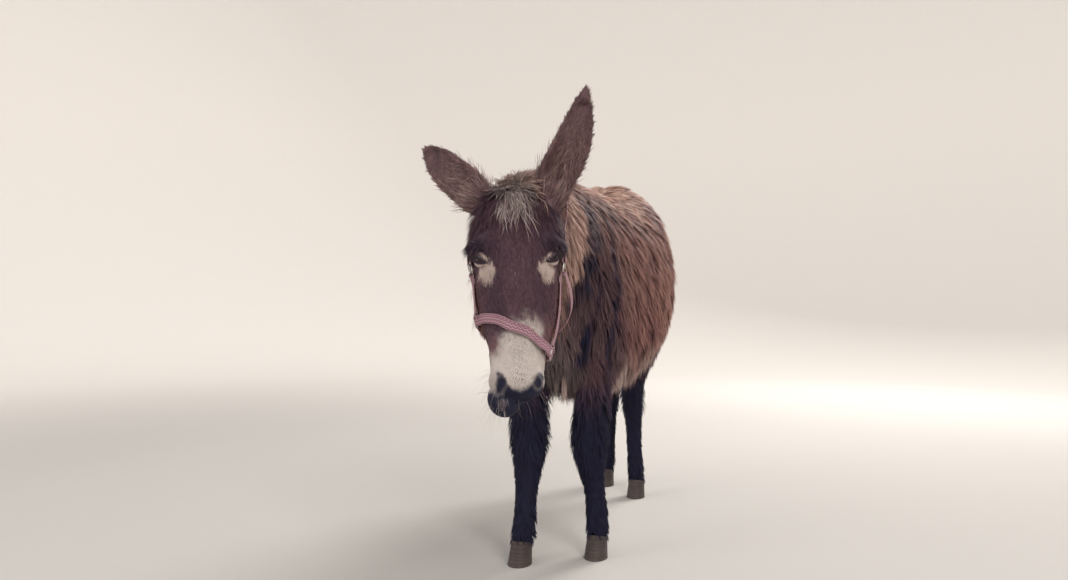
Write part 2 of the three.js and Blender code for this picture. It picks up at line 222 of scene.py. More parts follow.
# The head's own axes: side to the animal's left, inward from the face to the throat, down to the nose.
FACE_PITCH = math.radians(16)  # nose ahead of the brow
EYE_INWARD, EYE_DOWN = 0.046, 0.187  # from the poll to the eyes
UPRIGHT = np.array([0.0, 0.0, 1.0])
EYE = {name: middle("eye_" + name) for name in SIDES}
EYE_RADIUS = (corners("eye_left")[1] - corners("eye_left")[0])[2] / 2
SIDE = unit(EYE["left"] - EYE["right"])
BACKWARD = unit(np.cross(UPRIGHT, SIDE))
HEAD_UP = np.cross(SIDE, BACKWARD)
INWARD = math.cos(FACE_PITCH) * BACKWARD - math.sin(FACE_PITCH) * HEAD_UP
DOWN = -math.sin(FACE_PITCH) * BACKWARD - math.cos(FACE_PITCH) * HEAD_UP
HEAD_AXES = np.stack([SIDE, INWARD, DOWN])
POLL = (EYE["left"] + EYE["right"]) / 2 - EYE_INWARD * INWARD - EYE_DOWN * DOWN


def on_head(points):
    """Side, inward and down from the poll, in metres."""
    return (points - POLL) @ HEAD_AXES.T


def from_head(side, inward, down):
    return POLL + side * SIDE + inward * INWARD + down * DOWN


def node_mesh(node):
    """Points, normals and triangles of a CAD node, with its loose triangles joined."""
    solid = bmesh.new()
    solid.from_mesh(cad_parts[node].data)
    bmesh.ops.remove_doubles(solid, verts=solid.verts, dist=1e-5)
    bmesh.ops.recalc_face_normals(solid, faces=solid.faces)
    solid.verts.ensure_lookup_table()
    points = np.array([v.co for v in solid.verts])
    normals = np.array([v.normal for v in solid.verts])
    triangles = np.array([[v.index for v in f.verts] for f in solid.faces])
    solid.free()
    return points, normals, triangles


def ear_line(node):
    """Foot and tip of an ear."""
    points = node_mesh(node)[0]
    away = np.linalg.norm(points - POLL, axis=1)
    return points[away < np.quantile(away, 0.12)].mean(0), points[away.argmax()]


EAR_LINES = {EAR_LEFT: ear_line("ear_left"), EAR_RIGHT: ear_line("ear_right")}


class EyeFrame:
    """The directions round an eye: where it looks, towards its outer corner and up its brow."""

    def __init__(self, name):
        sign = SIDES[name]
        self.middle = EYE[name]
        self.gaze = unit(0.72 * sign * SIDE - 0.69 * INWARD + 0.05 * DOWN)
        corner = 0.66 * sign * SIDE + 0.5 * INWARD - 0.5 * DOWN
        self.outer = unit(corner - self.gaze * (corner @ self.gaze))
        self.up = np.cross(self.gaze, self.outer)
        if self.up @ DOWN > 0:
            self.up = -self.up

    def place(self, reach, turn, radius):
        """The point at an arc `reach` from the gaze, `turn` round it, at `radius` from the middle."""
        lean = reach / EYE_RADIUS
        ring = np.cos(turn)[..., None] * self.outer + np.sin(turn)[..., None] * self.up
        way = np.sin(lean)[..., None] * ring + np.cos(lean)[..., None] * self.gaze
        return self.middle + way * radius[..., None]

    def polar(self, points):
        """Arc from the gaze, turn round it and radius of each point."""
        off = points - self.middle
        radius = np.linalg.norm(off, axis=1)
        lean = np.arccos(np.clip(off @ self.gaze / radius, -1, 1))
        return lean * EYE_RADIUS, np.arctan2(off @ self.up, off @ self.outer), radius

    def past_lids(self, points):
        """How far each point is outside the edge of the lids, and its turn round the eye."""
        reach, turn, _ = self.polar(points)
        off = points - self.middle
        apart = np.hypot(off @ self.outer, off @ self.up)
        return np.maximum(reach, apart) - eye_opening(turn), turn


def eye_opening(turn):
    """Arc from the gaze to the edge of the lids: a long almond, the upper lid half lowered."""
    half = settings("eyes").half_width
    height = half * np.where(np.sin(turn) > 0, 0.19, 0.30)
    point = 1 + 0.16 * np.cos(turn) ** 8
    return point / np.sqrt((np.cos(turn) / half) ** 2 + (np.sin(turn) / height) ** 2)


EYE_FRAMES = [EyeFrame(name) for name in SIDES]


# ------------------------------------------------------------------ meshes


def added(name, data):
    """A new object in the scene."""
    made = bpy.data.objects.new(name, data)
    bpy.context.scene.collection.objects.link(made)
    return made


def new_mesh(name, points, groups):
    """An object from an array of points and a list of groups of equal-sized faces."""
    mesh = bpy.data.meshes.new(name)
    sizes = np.concatenate([np.full(len(g), g.shape[1]) for g in groups])
    corners_of = np.concatenate([g.ravel() for g in groups]).astype(np.int32)
    mesh.vertices.add(len(points))
    mesh.vertices.foreach_set("co", np.ascontiguousarray(points, np.float32).ravel())
    mesh.loops.add(len(corners_of))
    mesh.loops.foreach_set("vertex_index", corners_of)
    mesh.polygons.add(len(sizes))
    mesh.polygons.foreach_set("loop_start", np.concatenate([[0], np.cumsum(sizes)[:-1]]).astype(np.int32))
    mesh.polygons.foreach_set("use_smooth", np.full(len(sizes), True))
    mesh.update(calc_edges=True)
    mesh.validate()
    return added(name, mesh)


def vertex_vectors(mesh, name):
    vectors = np.empty(len(mesh.vertices) * 3, np.float32)
    mesh.vertices.foreach_get(name, vectors)
    return vectors.reshape(-1, 3).astype(float)


def mesh_points(mesh):
    return vertex_vectors(mesh, "co")


def mesh_normals(mesh):
    return vertex_vectors(mesh, "normal")


def mesh_triangles(mesh):
    mesh.calc_loop_triangles()
    triangles = np.empty(len(mesh.loop_triangles) * 3, np.int32)
    mesh.loop_triangles.foreach_get("vertices", triangles)
    return triangles.reshape(-1, 3)


def face_areas(corners_of):
    """Areas of triangles given by their three corners."""
    edge = corners_of[:, 1:] - corners_of[:, :1]
    return np.linalg.norm(np.cross(edge[:, 0], edge[:, 1]), axis=1) / 2


def set_points(mesh, points):
    mesh.vertices.foreach_set("co", points.astype(np.float32).ravel())
    mesh.update()


def store(mesh, name, values, kind="FLOAT"):
    """Keeps one number for each vertex under a name that the materials read."""
    attribute = mesh.attributes.new(name, kind, "POINT")
    attribute.data.foreach_set("value", values.astype(np.int32 if kind == "INT" else np.float32))


def stored(mesh, name, kind=np.float32):
    values = np.empty(len(mesh.vertices), kind)
    mesh.attributes[name].data.foreach_get("value", values)
    return values


def lay_flat(mesh, name, flat):
    """Keeps a flat map in which every vertex has one place."""
    loops = np.empty(len(mesh.loops), np.int32)
    mesh.loops.foreach_get("vertex_index", loops)
    mesh.uv_layers.new(name=name).data.foreach_set("uv", flat[loops].astype(np.float32).ravel())


def ring_quads(count, around, closed=False):
    """Faces between `count` rings of `around` points, the last joined to the first if `closed`."""
    ring, spot = np.meshgrid(np.arange(count if closed else count - 1), np.arange(around), indexing="ij")
    here, after = ring * around, (ring + 1) % count * around
    beside = (spot + 1) % around
    return np.stack([here + spot, here + beside, after + beside, after + spot], 2).reshape(-1, 4)


def finished(piece, material, slot, *nodes):
    """Gives a finished piece its material and its place in the frame."""
    piece.data.materials.clear()
    piece.data.materials.append(material)
    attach(piece, "root")
    if nodes:
        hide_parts(*nodes)
    return piece


def applied(piece):
    """The piece with its modifiers made part of its mesh."""
    graph = bpy.context.evaluated_depsgraph_get()
    mesh = bpy.data.meshes.new_from_object(piece.evaluated_get(graph), depsgraph=graph)
    mesh.name = piece.name
    piece.modifiers.clear()
    old, piece.data = piece.data, mesh
    bpy.data.meshes.remove(old)
    return piece


class Neighbours:
    """Averages over the vertices next to each vertex."""

    def __init__(self, mesh):
        ends = np.empty(len(mesh.edges) * 2, np.int32)
        mesh.edges.foreach_get("vertices", ends)
        a, b = ends.reshape(-1, 2).T
        self.here = np.concatenate([a, b])
        self.there = np.concatenate([b, a])
        self.count = np.maximum(np.bincount(self.here, minlength=len(mesh.vertices)), 1)

    def mean(self, values):
        if values.ndim > 1:
            return np.stack([self.mean(column) for column in values.T], 1)
        return np.bincount(self.here, values[self.there], len(self.count)) / self.count

    def smooth(self, values, rounds, share=0.5):
        """`share` may be one number or one for each vertex."""
        for _ in range(rounds):
            values = values + share * (self.mean(values) - values)
        return values


# ------------------------------------------------------------------ shader maths


class Value:
    """A socket in a material, so that shader maths reads as an expression."""

    def __init__(self, shader, socket):
        self.shader = shader
        self.socket = socket

    def math(self, operation, *others):
        return self.shader.node("ShaderNodeMath", {"operation": operation}, [self, *others])

    def __add__(self, other):
        return self.math("ADD", other)

    def __mul__(self, other):
        return self.math("MULTIPLY", other)

    def __sub__(self, other):
        return self.math("SUBTRACT", other)

    def __rsub__(self, other):
        return self.shader.node("ShaderNodeMath", {"operation": "SUBTRACT"}, [other, self])

    def __truediv__(self, other):
        return self.math("DIVIDE", other)

    def __pow__(self, other):
        return self.math("POWER", other)

    __radd__ = __add__
    __rmul__ = __mul__

    def rise(self, low, high):
        """0 at low and 1 at high, smooth between."""
        return self.shader.node(
            "ShaderNodeMapRange", {"interpolation_type": "SMOOTHSTEP"}, [self, low, high, 0.0, 1.0])


SOCKETS = {"specular": "Specular IOR Level", "coat": "Coat Weight"}


class Shader:
    """A material whose nodes are made by expressions and put into one Principled shader."""

    def __init__(self, name, **constants):
        self.material = bpy.data.materials.new(name)
        self.material.use_nodes = True
        self.tree = self.material.node_tree
        self.surface = self.tree.nodes["Principled BSDF"]
        for socket, value in constants.items():
            self.feed(SOCKETS.get(socket, socket.title()), value)

    def put(self, socket, value):
        if isinstance(value, Value):
            self.tree.links.new(value.socket, socket)
        elif socket.type == "RGBA":
            socket.default_value = (*value, 1.0)
        else:
            socket.default_value = value

    def feed(self, socket, value):
        self.put(self.surface.inputs[socket], value)

    def node(self, kind, options, inputs, output=0):
        """A node of that kind: its settings first, then its sockets by place or by name."""
        made = self.tree.nodes.new(kind)
        for name, value in options.items():
            setattr(made, name, value)
        pairs = inputs.items() if isinstance(inputs, dict) else enumerate(inputs)
        for key, value in pairs:
            self.put(made.inputs[key], value)
        return Value(self, made.outputs[output])

    def blend(self, share, first, second):
        return self.node("ShaderNodeMix", {"data_type": "RGBA"}, {0: share, 6: first, 7: second}, 2)

    def scaled(self, tint, share):
        return self.node("ShaderNodeVectorMath", {"operation": "SCALE"}, {0: tint, "Scale": share})

    def kept(self, name):
        """A number that the mesh keeps for each vertex."""
        return self.node("ShaderNodeAttribute", {"attribute_name": name}, [], "Fac")

    def place(self):
        return self.node("ShaderNodeTexCoord", {}, [], "Object")

    def laid(self, scale=(1, 1, 1), turn=(0, 0, 0)):
        """Object coordinates turned and stretched, so that noise on them makes streaks."""
        return self.node(
            "ShaderNodeMapping", {}, {"Vector": self.place(), "Rotation": turn, "Scale": scale})

    def noise(self, vector, scale, detail=3.0):
        return self.node(
            "ShaderNodeTexNoise", {}, {"Vector": vector, "Scale": scale, "Detail": detail}, "Fac")

    def apart(self, vector):
        """The three numbers of a vector."""
        made = self.tree.nodes.new("ShaderNodeSeparateXYZ")
        self.put(made.inputs[0], vector)
        return [Value(self, made.outputs[axis]) for axis in range(3)]

    def woven_uv(self):
        return self.apart(self.node("ShaderNodeUVMap", {"uv_map": "weave"}, []))

    def bump(self, height, strength, distance):
        self.feed("Normal", self.node(
            "ShaderNodeBump", {}, {"Height": height, "Strength": strength, "Distance": distance}))


def coat_colour(shader, along, shade):
    """The coat's colour from its markings, at a share `along` the hair, lighter or darker by `shade`."""
    coat = settings("coat")
    tint = shader.blend(along, coat.root, coat.tip)
    tint = shader.blend(shader.kept("ruddy") * (along * 0.8 + 0.2), tint, coat.ruddy)
    tint = shader.blend(shader.kept("bleach") * (along * 0.6 + 0.4), tint, coat.bleach)
    tint = shader.blend(shader.kept("pale"), tint, coat.pale)
    tint = shader.blend(shader.kept("dark"), tint, coat.dark)
    return shader.scaled(tint, shade)


def skin_material():
    shader = Shader("skin", roughness=0.75, specular=0.2)
    turn = math.atan2(SIDE[1], SIDE[0])
    streak = shader.noise(shader.laid((420, 420, 60), (FACE_PITCH, 0, turn)), 1.0)
    patch = shader.noise(shader.place(), 28.0, 4.0)
    fleck = shader.noise(shader.laid((800, 800, 170), (FACE_PITCH, 0, turn)), 1.0, 2.0).rise(0.53, 0.6)
    # Painted shade: `lit` gives the skin under the long body coat mostly the dark root colour, as shade deep
    # in the coat.
    tint = coat_colour(shader, shader.kept("lit") * (streak * 0.5 + 0.5), patch * 0.5 + streak * 0.35 + 0.5)
    shader.feed("Base Color", shader.blend(fleck * shader.kept("grey"), tint, settings("coat").dark))
    shader.feed("Roughness", streak * 0.2 + 0.62)
    shader.bump(streak + shader.noise(shader.place(), 700.0) * 0.5, 0.55, 0.0012)
    return shader.material


def hair_material(name):
    shader = Shader(name, roughness=0.6, specular=0.14)
    tone = shader.kept("tone")
    streak = shader.noise(shader.laid((52, 52, 7)), 1.0, 3.0)
    along = shader.kept("along")
    shader.feed("Base Color", coat_colour(
        shader, along * (tone * 0.6 + streak * 0.5 + 0.3), tone * 0.5 + streak * 0.8 + 0.37))
    shader.feed("Roughness", 0.68 - along * 0.12)
    return shader.material


def horn_material():
    shader = Shader("horn", specular=0.35)
    height = shader.apart(shader.place())[2]
    rings = shader.noise(shader.laid((6, 6, 260)), 1.0, 4.0)
    grain = shader.noise(shader.laid((300, 300, 18)), 1.0)
    dust = shader.noise(shader.place(), 40.0, 5.0) * (1 - height.rise(0.0, 0.05))
    dark, pale, earth = (0.022, 0.016, 0.017), (0.07, 0.05, 0.045), (0.14, 0.10, 0.08)
    shader.feed("Base Color", shader.blend(dust * 0.3, shader.blend(rings, dark, pale), earth))
    shader.feed("Roughness", grain * 0.25 + 0.45)
    shader.bump(rings + grain * 0.35, 0.5, 0.0012)
    return shader.material


# ------------------------------------------------------------------ how the coat grows

SAMPLE_AREA = 0.00008  # of a solid's surface for each spot that stands for it, in square metres


def nearest_parts(points):
    """Which piece of flesh each point belongs to: the one whose solid is nearest."""
    spots, labels = [], []
    chance = np.random.default_rng(3)
    for label, node in enumerate(FLESH):
        points_of, _, triangles = node_mesh(node)
        corners_of = points_of[triangles]
        area = face_areas(corners_of)
        picks = chance.choice(len(area), int(area.sum() / SAMPLE_AREA), p=area / area.sum())
        share = chance.dirichlet((1, 1, 1), len(picks))
        spots.append((corners_of[picks] * share[:, :, None]).sum(1))
        labels.append(np.full(len(picks), label))
    spots, labels = np.concatenate(spots), np.concatenate(labels)
    tree = KDTree(len(spots))
    for index, spot in enumerate(spots):
        tree.insert(spot, index)
    tree.balance()
    return labels[[tree.find(point)[1] for point in points]]


def is_leg(part):
    return part >= LEG_PARTS[0]


def is_ear(part):
    return (part == EAR_LEFT) | (part == EAR_RIGHT)


def greying(points):
    """Share of dark hairs among the pale ones of the muzzle."""
    side, _, down = on_head(points).T
    middle = step(0.045, 0.0, np.abs(side - 0.004)) * step(0.36, 0.5, down)
    return step(0.3, 0.34, down) * (0.16 + 0.5 * middle)


def up_the_ear(part, points):
    """How far along its ear each point is, 0 at the foot and 1 at the tip."""
    along = np.zeros(len(points))
    for label, (foot, tip) in EAR_LINES.items():
        here = part == label
        along[here] = (points[here] - foot) @ (tip - foot) / ((tip - foot) @ (tip - foot))
    return np.clip(along, 0, 1)


# Heights on a leg and places down the face, each with the length of the hair there or with the depth of
# the skin inside the solids.
LEG_HAIR = ((0.06, 0.12, 0.2, 0.32, 0.42, 0.66), (0.026, 0.026, 0.016, 0.026, 0.044, 0.05))
FACE_HAIR = ((-0.02, 0.06, 0.14, 0.3, 0.42, 0.5, 0.54), (0.05, 0.03, 0.015, 0.013, 0.008, 0.005, 0.004))
LEG_DEPTH = ((0.05, 0.12, 0.34, 0.5, 0.7), (0.003, 0.005, 0.006, 0.013, 0.02))
FACE_DEPTH = ((-0.03, 0.06, 0.16, 0.45, 0.55), (0.014, 0.007, 0.0035, 0.002, 0.0012))
EAR_DEPTH, TAIL_DEPTH = 0.003, 0.014


def hair_length(part, points, normals):
    """Length of the coat, from 3 mm at the lips to long locks on the flanks, jaw and breast."""
    side, inward, down = on_head(points).T
    height = points[:, 2]
    low_belly = step(-0.2, -0.8, normals[:, 2])
    body = 0.060 + 0.016 * low_belly - 0.016 * step(0.5, 0.95, normals[:, 2])
    leg = np.interp(height, *LEG_HAIR)
    face = np.interp(down, *FACE_HAIR) + 0.024 * step(0.17, 0.08, down) * step(0.035, 0.08, inward)
    jaw = 0.036 * step(0.08, 0.2, inward) * (1 - step(0.3, 0.42, down))
    ear = 0.019 - 0.007 * up_the_ear(part, points)
    tail = 0.05 + 0.05 * step(0.8, 0.6, height)
    grown = np.where(is_leg(part), leg, np.where(part == HEAD, face + jaw, body))
    grown = np.where(is_ear(part), ear, np.where(part == TAIL, tail, grown))
    edge = np.min([eye.past_lids(points)[0] for eye in EYE_FRAMES], axis=0)
    brow = 0.017 * np.exp(-(((np.abs(side) - 0.108) / 0.034) ** 2) - ((down - 0.15) / 0.02) ** 2)
    return grown * (0.25 + 0.75 * step(0.002, 0.032, edge)) + (part == HEAD) * brow * step(0.1, 0.05, inward)


def coat_depth(part, points, normals):
    """How far the skin lies inside the solids."""
    _, inward, down = on_head(points).T
    body = 0.024 + 0.008 * step(-0.2, -0.8, normals[:, 2])
    leg = np.interp(points[:, 2], *LEG_DEPTH)
    face = np.interp(down, *FACE_DEPTH) + 0.012 * step(0.1, 0.22, inward) * (1 - step(0.3, 0.42, down))
    depth = np.where(is_leg(part), leg, np.where(part == HEAD, face, body))
    return np.where(is_ear(part), EAR_DEPTH, np.where(part == TAIL, TAIL_DEPTH, depth))


CHIN_SPOT = -0.045, 0.048, 0.543  # a tan spot on the lower lip
# How far the dark of the nose climbs towards each nostril: distances from its middle, and heights.
NOSE_EDGE = ((0.0, 0.018, 0.029, 0.036, 0.042, 0.050, 0.06), (0.0, 0.003, 0.012, 0.025, 0.037, 0.043, 0.040))


def eye_marks(points, ragged):
    """The pale patches under and over the eyes, and the dark of the lids."""
    lids, rings = np.zeros((2, len(points)))
    for eye in EYE_FRAMES:
        past, turn = eye.past_lids(points)
        wide = 0.007 + 0.025 * ((1 - np.cos(turn - 0.6)) / 2) ** 1.7
        wide = wide + 0.020 * np.clip(np.cos(turn - 4.1), 0, 1) ** 4
        rings = np.maximum(rings, step(0.004, 0.008, past) * step(
            wide + 0.008, wide - 0.006, past + 0.012 * ragged))
        corner = 0.0062 + 0.005 * np.cos(turn) ** 4 + 0.004 * step(0.0, 0.6, np.sin(turn))
        lids = np.maximum(lids, step(corner + 0.002, corner - 0.002, past))
    return rings, lids


def head_marks(points, ragged):
    """Markings of the head: pale muzzle and eye patches, dark nose and lids, painted shade on the brow over
    the eyes, red-brown cheeks.
    """
    side, inward, down = on_head(points).T
    width = np.abs(side)

    top = 0.350 + 0.034 * step(0.012, -0.045, side)
    muzzle = step(top - 0.026, top + 0.022, down + 0.03 * ragged)
    edge = np.where(side < 0, -side, side - 0.012)
    brown_side = step(0.040, 0.056, edge + 0.012 * ragged) * step(0.45, 0.415, down)
    pale = muzzle * (1 - brown_side) * (0.82 + 0.18 * step(0.36, 0.42, down))
    rings, lids = eye_marks(points, ragged)
    pale = np.maximum(pale, 0.5 * rings)

    nose = 0.522 - np.interp(width, *NOSE_EDGE)
    dark = step(-0.007, 0.007, down - nose + 0.012 * ragged) * step(0.17, 0.13, inward)
    rim = step(0.053, 0.060, width + 0.006 * ragged) * step(0.530, 0.514, down)
    spot = np.linalg.norm(points - from_head(*CHIN_SPOT), axis=1)
    spot = step(0.018, 0.003, spot + 0.03 * ragged)
    hole = from_line(np.stack([width, inward, down], 1), NOSTRIL)[0]
    dark = dark * (1 - 0.85 * rim) * (1 - 0.28 * spot) * (1 - 0.2 * np.exp(-(((hole - 0.015) / 0.004) ** 2)))
    pale = pale * (1 - 0.8 * spot)
    face = (1 - muzzle) * step(0.13, 0.06, inward + 0.02 * ragged)
    # Painted shade: the fur along the ledge over each eye is drawn darker, as the shade under the brow.
    brow = np.exp(-(((down - 0.15) / 0.03) ** 2)) * step(0.05, 0.09, width)
    dark = np.maximum(dark, face * (0.42 + 0.1 * step(0.02, 0.05, width) + 0.14 * brow) * (1 - rings))
    dark = np.maximum(dark, 0.82 * lids)

    cheek = np.clip(step(0.05, 0.12, inward) + 0.4 * step(0.06, 0.1, width), 0, 1)
    ruddy = 0.05 + 0.6 * cheek * step(0.12, 0.26, down) * step(0.46, 0.4, down) + 0.4 * spot
    bleach = 0.3 * step(0.15, 0.22, inward) * step(0.4, 0.3, down) + 0.6 * rings + 0.15 * spot
    return np.stack([pale, dark, ruddy, bleach])


def body_marks(part, points, normals, ragged):
    """Markings of the rest: pale belly, dark shoulders, a bleached back partly painted as a highlight, a neck
    darkened as painted shade, dark legs partly painted shade, and tan behind the jaw partly painted as lit
    from behind.
    """
    height = points[:, 2]
    patch = mottle(points, 0.09, 6)
    band = mottle(points * np.array([1.0, 1.0, 0.22]), 0.05, 9)
    neck, trunk, leg, ear = part == NECK, part == TRUNK, is_leg(part), is_ear(part)
    belly = step(-0.2, -0.85, normals[:, 2] + 0.25 * ragged + 0.35 * (patch - 0.5))
    pale = 0.55 * trunk * belly

    # Tan behind the jaw on the left: its own tan hair, drawn paler as painted highlight of light from behind.
    backlit_tan = neck * step(-0.47, -0.55, points[:, 1] + 0.06 * (patch - 0.5)) * step(0.83, 0.9, height)
    backlit_tan = backlit_tan * step(0.02, 0.08, points[:, 0])
    # Painted shade: the neck under the head is drawn dark, darker low down and where it faces sideways or
    # down.
    neck_shade = 0.6 + 0.35 * step(1.12, 0.92, height + 0.08 * (patch - 0.5))
    dark = neck_shade * neck * step(0.9, 0.5, normals[:, 2]) * (1 - 0.8 * backlit_tan)
    shoulder = step(-0.08, -0.32, points[:, 1]) * step(0.7, 0.3, normals[:, 2]) * step(1.15, 0.9, height)
    # Painted highlight: where the coat faces up, on the back and the crest of the neck, it is drawn paler and
    # less dark, as lit from behind; mottled, partly bleached hair.
    back = step(0.55, 0.95, normals[:, 2] + 0.14 * (patch - 0.5))
    dark = np.maximum(dark, trunk * (0.7 * shoulder + 0.36 * step(0.45, 0.85, band)) * (1 - 0.8 * back))
    # Lower legs dark, partly their own colour and partly painted shade.
    dark = np.maximum(dark, leg * (0.9 * step(0.74, 0.44, height) + 0.1))
    dark = np.maximum(dark, 0.5 * (part == TAIL))
    dark = np.maximum(dark, ear * (0.20 + 0.2 * step(0.3, 0.95, up_the_ear(part, points))))

    ruddy = neck * 0.3 + 0.35 * backlit_tan + trunk * (0.3 + 0.55 * (1 - band))
    ruddy = ruddy + leg * 0.22 * step(0.3, 0.5, height) + ear * 0.1
    hip = step(0.05, 0.5, points[:, 1])
    # The bleach on the back is partly bleached hair and partly painted highlight.
    bleach = trunk * (1.9 * patch * back + (0.16 + 0.3 * hip) * step(0.6, 0.25, band) + 0.3 * belly)
    bleach = bleach + neck * 0.5 * back + 0.75 * backlit_tan + 0.2 * ear
    return np.stack([pale, dark, ruddy, bleach])


def markings(part, points, normals):
    """How pale, dark, ruddy and bleached the coat is at each point; the dark holds painted shade in places
    and the bleached hair a painted highlight.
    """
    side, inward, down = on_head(points).T
    ragged = mottle(points, 0.016, 5) - 0.5
    head = part == HEAD
    marks = np.where(head, head_marks(points, ragged), body_marks(part, points, normals, ragged))
    poll = step(0.040, 0.012, np.abs(side)) * step(0.07, -0.01, down) * step(0.14, 0.08, inward)
    poll = poll * (head | (part == NECK)) * (0.12 + 0.5 * mottle(points, 0.006, 8))
    marks[0] = np.maximum(marks[0], poll)
    return dict(zip(("pale", "dark", "ruddy", "bleach"), np.clip(marks, 0, 1)))


def lie_of_coat(part, points, normals):
    """The way the hair runs along the surface at each point."""
    side, inward, down = on_head(points).T
    across = np.sign(points[:, :1]) * np.array([[1.0, 0, 0]])
    top = step(0.55, 0.95, normals[:, 2])[:, None]
    under = step(-0.55, -0.95, normals[:, 2])[:, None]
    back, fall = np.array([0.0, 1, 0]), np.array([0.0, 0, -1])
    body = back * (0.14 + 0.5 * top + 0.6 * under) + fall * (1 - 0.6 * top) + across * 0.5 * top
    neck = back * 0.3 + fall * 0.9 + across * 0.3 * top
    outward = (np.clip(side / 0.1, -1, 1) * step(0.32, 0.05, down))[:, None]
    rearward = (0.15 + 0.9 * step(0.03, 0.1, inward))[:, None]
    face = DOWN + 0.55 * outward * SIDE + rearward * INWARD
    flow = np.where((part == NECK)[:, None], neck, body)
    flow = np.where((part == HEAD)[:, None], face, flow)
    flow = np.where(is_leg(part)[:, None], fall + 0.2 * back, flow)
    flow = np.where((part == TAIL)[:, None], fall + 0.25 * back, flow)
    for label, (foot, tip) in EAR_LINES.items():
        flow = np.where((part == label)[:, None], unit(tip - foot), flow)
    return unit(flatten(flow, normals))


# ------------------------------------------------------------------ skin

# How far each piece of flesh is smoothed, as a share of the full rounds.
SOFTNESS = {TRUNK: 1.0, NECK: 1.0, HEAD: 0.12, EAR_LEFT: 0.06, EAR_RIGHT: 0.06, TAIL: 0.25}
LEG_SOFTNESS = 0.4
SOFT_ROUNDS = 45

# Forms of the skull under the skin, the same on both sides: where each is (side, inward, down), how far
# it reaches each way, and how far it stands out or sinks.
SKULL = (
    ((0.108, 0.036, 0.150), (0.034, 0.045, 0.021), 0.024),  # ledge over the eye
    ((0.070, 0.014, 0.105), (0.026, 0.030, 0.030), -0.007),  # hollow above it
    ((0.098, 0.075, 0.246), (0.030, 0.018, 0.046), 0.005),  # cheekbone under the eye
    ((0.078, 0.030, 0.262), (0.020, 0.030, 0.030), -0.004),  # hollow inside the cheekbone
    ((0.082, 0.075, 0.325), (0.025, 0.013, 0.055), 0.005),  # crest down the cheek
    ((0.120, 0.165, 0.260), (0.040, 0.060, 0.070), 0.006),  # jaw muscle
    ((0.085, 0.120, 0.400), (0.030, 0.040, 0.040), -0.007),  # hollow before it
    ((0.030, 0.000, 0.380), (0.012, 0.030, 0.090), 0.003),  # edge of the nose bone
    ((0.000, 0.000, 0.300), (0.016, 0.030, 0.120), -0.002),  # groove down the middle
    ((0.054, 0.018, 0.492), (0.018, 0.024, 0.022), 0.008),  # wing of the nostril
    ((0.000, 0.000, 0.505), (0.020, 0.020, 0.030), -0.003),  # dip between the nostrils
)
# Forms of one side alone, where the lips are pushed to the right by what is chewed.
CHEWING = (
    ((-0.066, 0.040, 0.455), (0.030, 0.040, 0.050), 0.013),
    ((-0.066, 0.046, 0.505), (0.030, 0.038, 0.035), 0.010),
    ((-0.060, 0.060, 0.535), (0.024, 0.030, 0.030), 0.006),
    ((0.064, 0.020, 0.435), (0.020, 0.040, 0.030), -0.008),
)
# Middle lines of a nostril and of one half of the mouth, with their half widths and depths.
NOSTRIL = np.array([[0.041, 0.004, 0.502], [0.057, 0.022, 0.524]])
NOSTRIL_HALF, NOSTRIL_DEPTH = 0.0095, 0.019
MOUTH = np.array([[0.060, 0.094, 0.440], [0.058, 0.074, 0.485], [0.046, 0.060, 0.522], [0.0, 0.050, 0.550]])
MOUTH_HALF, MOUTH_DEPTH = 0.0035, 0.005


LIDS_REACH = 0.040  # of the lids and their folds from the middle of an eye


def joined_flesh():
    """All the flesh solids in one mesh, swollen a little so that the gaps between them close."""
    swell = 0.0007
    points, triangles, start = [], [], 0
    for node in (*FLESH, "eye_left", "eye_right"):
        spots, normals, faces = node_mesh(node)
        points.append(spots + normals * swell)
        triangles.append(faces + start)
        start += len(spots)
    return np.concatenate(points), [np.concatenate(triangles)]


def refined(mesh, near):
    """Splits every face whose vertices `near` picks."""
    faces = bmesh.new()
    faces.from_mesh(mesh)
    picked = near(mesh_points(mesh))
    edges = {e for f in faces.faces if all(picked[v.index] for v in f.verts) for e in f.edges}
    bmesh.ops.subdivide_edges(faces, edges=list(edges), cuts=1)
    bmesh.ops.triangulate(faces, faces=[f for f in faces.faces if len(f.verts) > 3])
    faces.to_mesh(mesh)
    faces.free()
    mesh.update()


def close_to(*places):
    """A test for points within a reach of any of the places."""
    return lambda points: np.any(
        [np.linalg.norm(points - place, axis=1) < reach for place, reach in places], axis=0)


def from_line(points, ends):
    """How far each point is from a straight line between two ends, and how far along it, from 0 to 1."""
    span = ends[1] - ends[0]
    along = np.clip((points - ends[0]) @ span / (span @ span), 0, 1)
    return np.linalg.norm(points - ends[0] - along[:, None] * span, axis=1), along


def sculpted_skull(points, normals, head):
    """The skin of the head moved out and in by its forms, nostrils and mouth."""
    there = on_head(points)
    where = np.column_stack([np.abs(there[:, 0]), there[:, 1:]])
    out = np.zeros(len(points))
    for forms, spots in ((SKULL, where), (CHEWING, there)):
        for place, reach, height in forms:
            out += height * np.exp(-(((spots - place) / reach) ** 2).sum(1))
    off, along = from_line(where, NOSTRIL)
    narrow = NOSTRIL_HALF * (1 - 0.35 * along)
    out += 0.0035 * np.exp(-((off - 1.7 * narrow) / (0.6 * narrow)) ** 2)
    out -= NOSTRIL_DEPTH * step(1.5, 0.55, off / narrow)
    off = np.min([from_line(where, MOUTH[k:k + 2])[0] for k in range(len(MOUTH) - 1)], axis=0)
    out += 0.0015 * np.exp(-((off - 2.4 * MOUTH_HALF) / MOUTH_HALF) ** 2)
    out -= MOUTH_DEPTH * np.exp(-((off / MOUTH_HALF) ** 2))
    return points + normals * (out * head)[:, None]


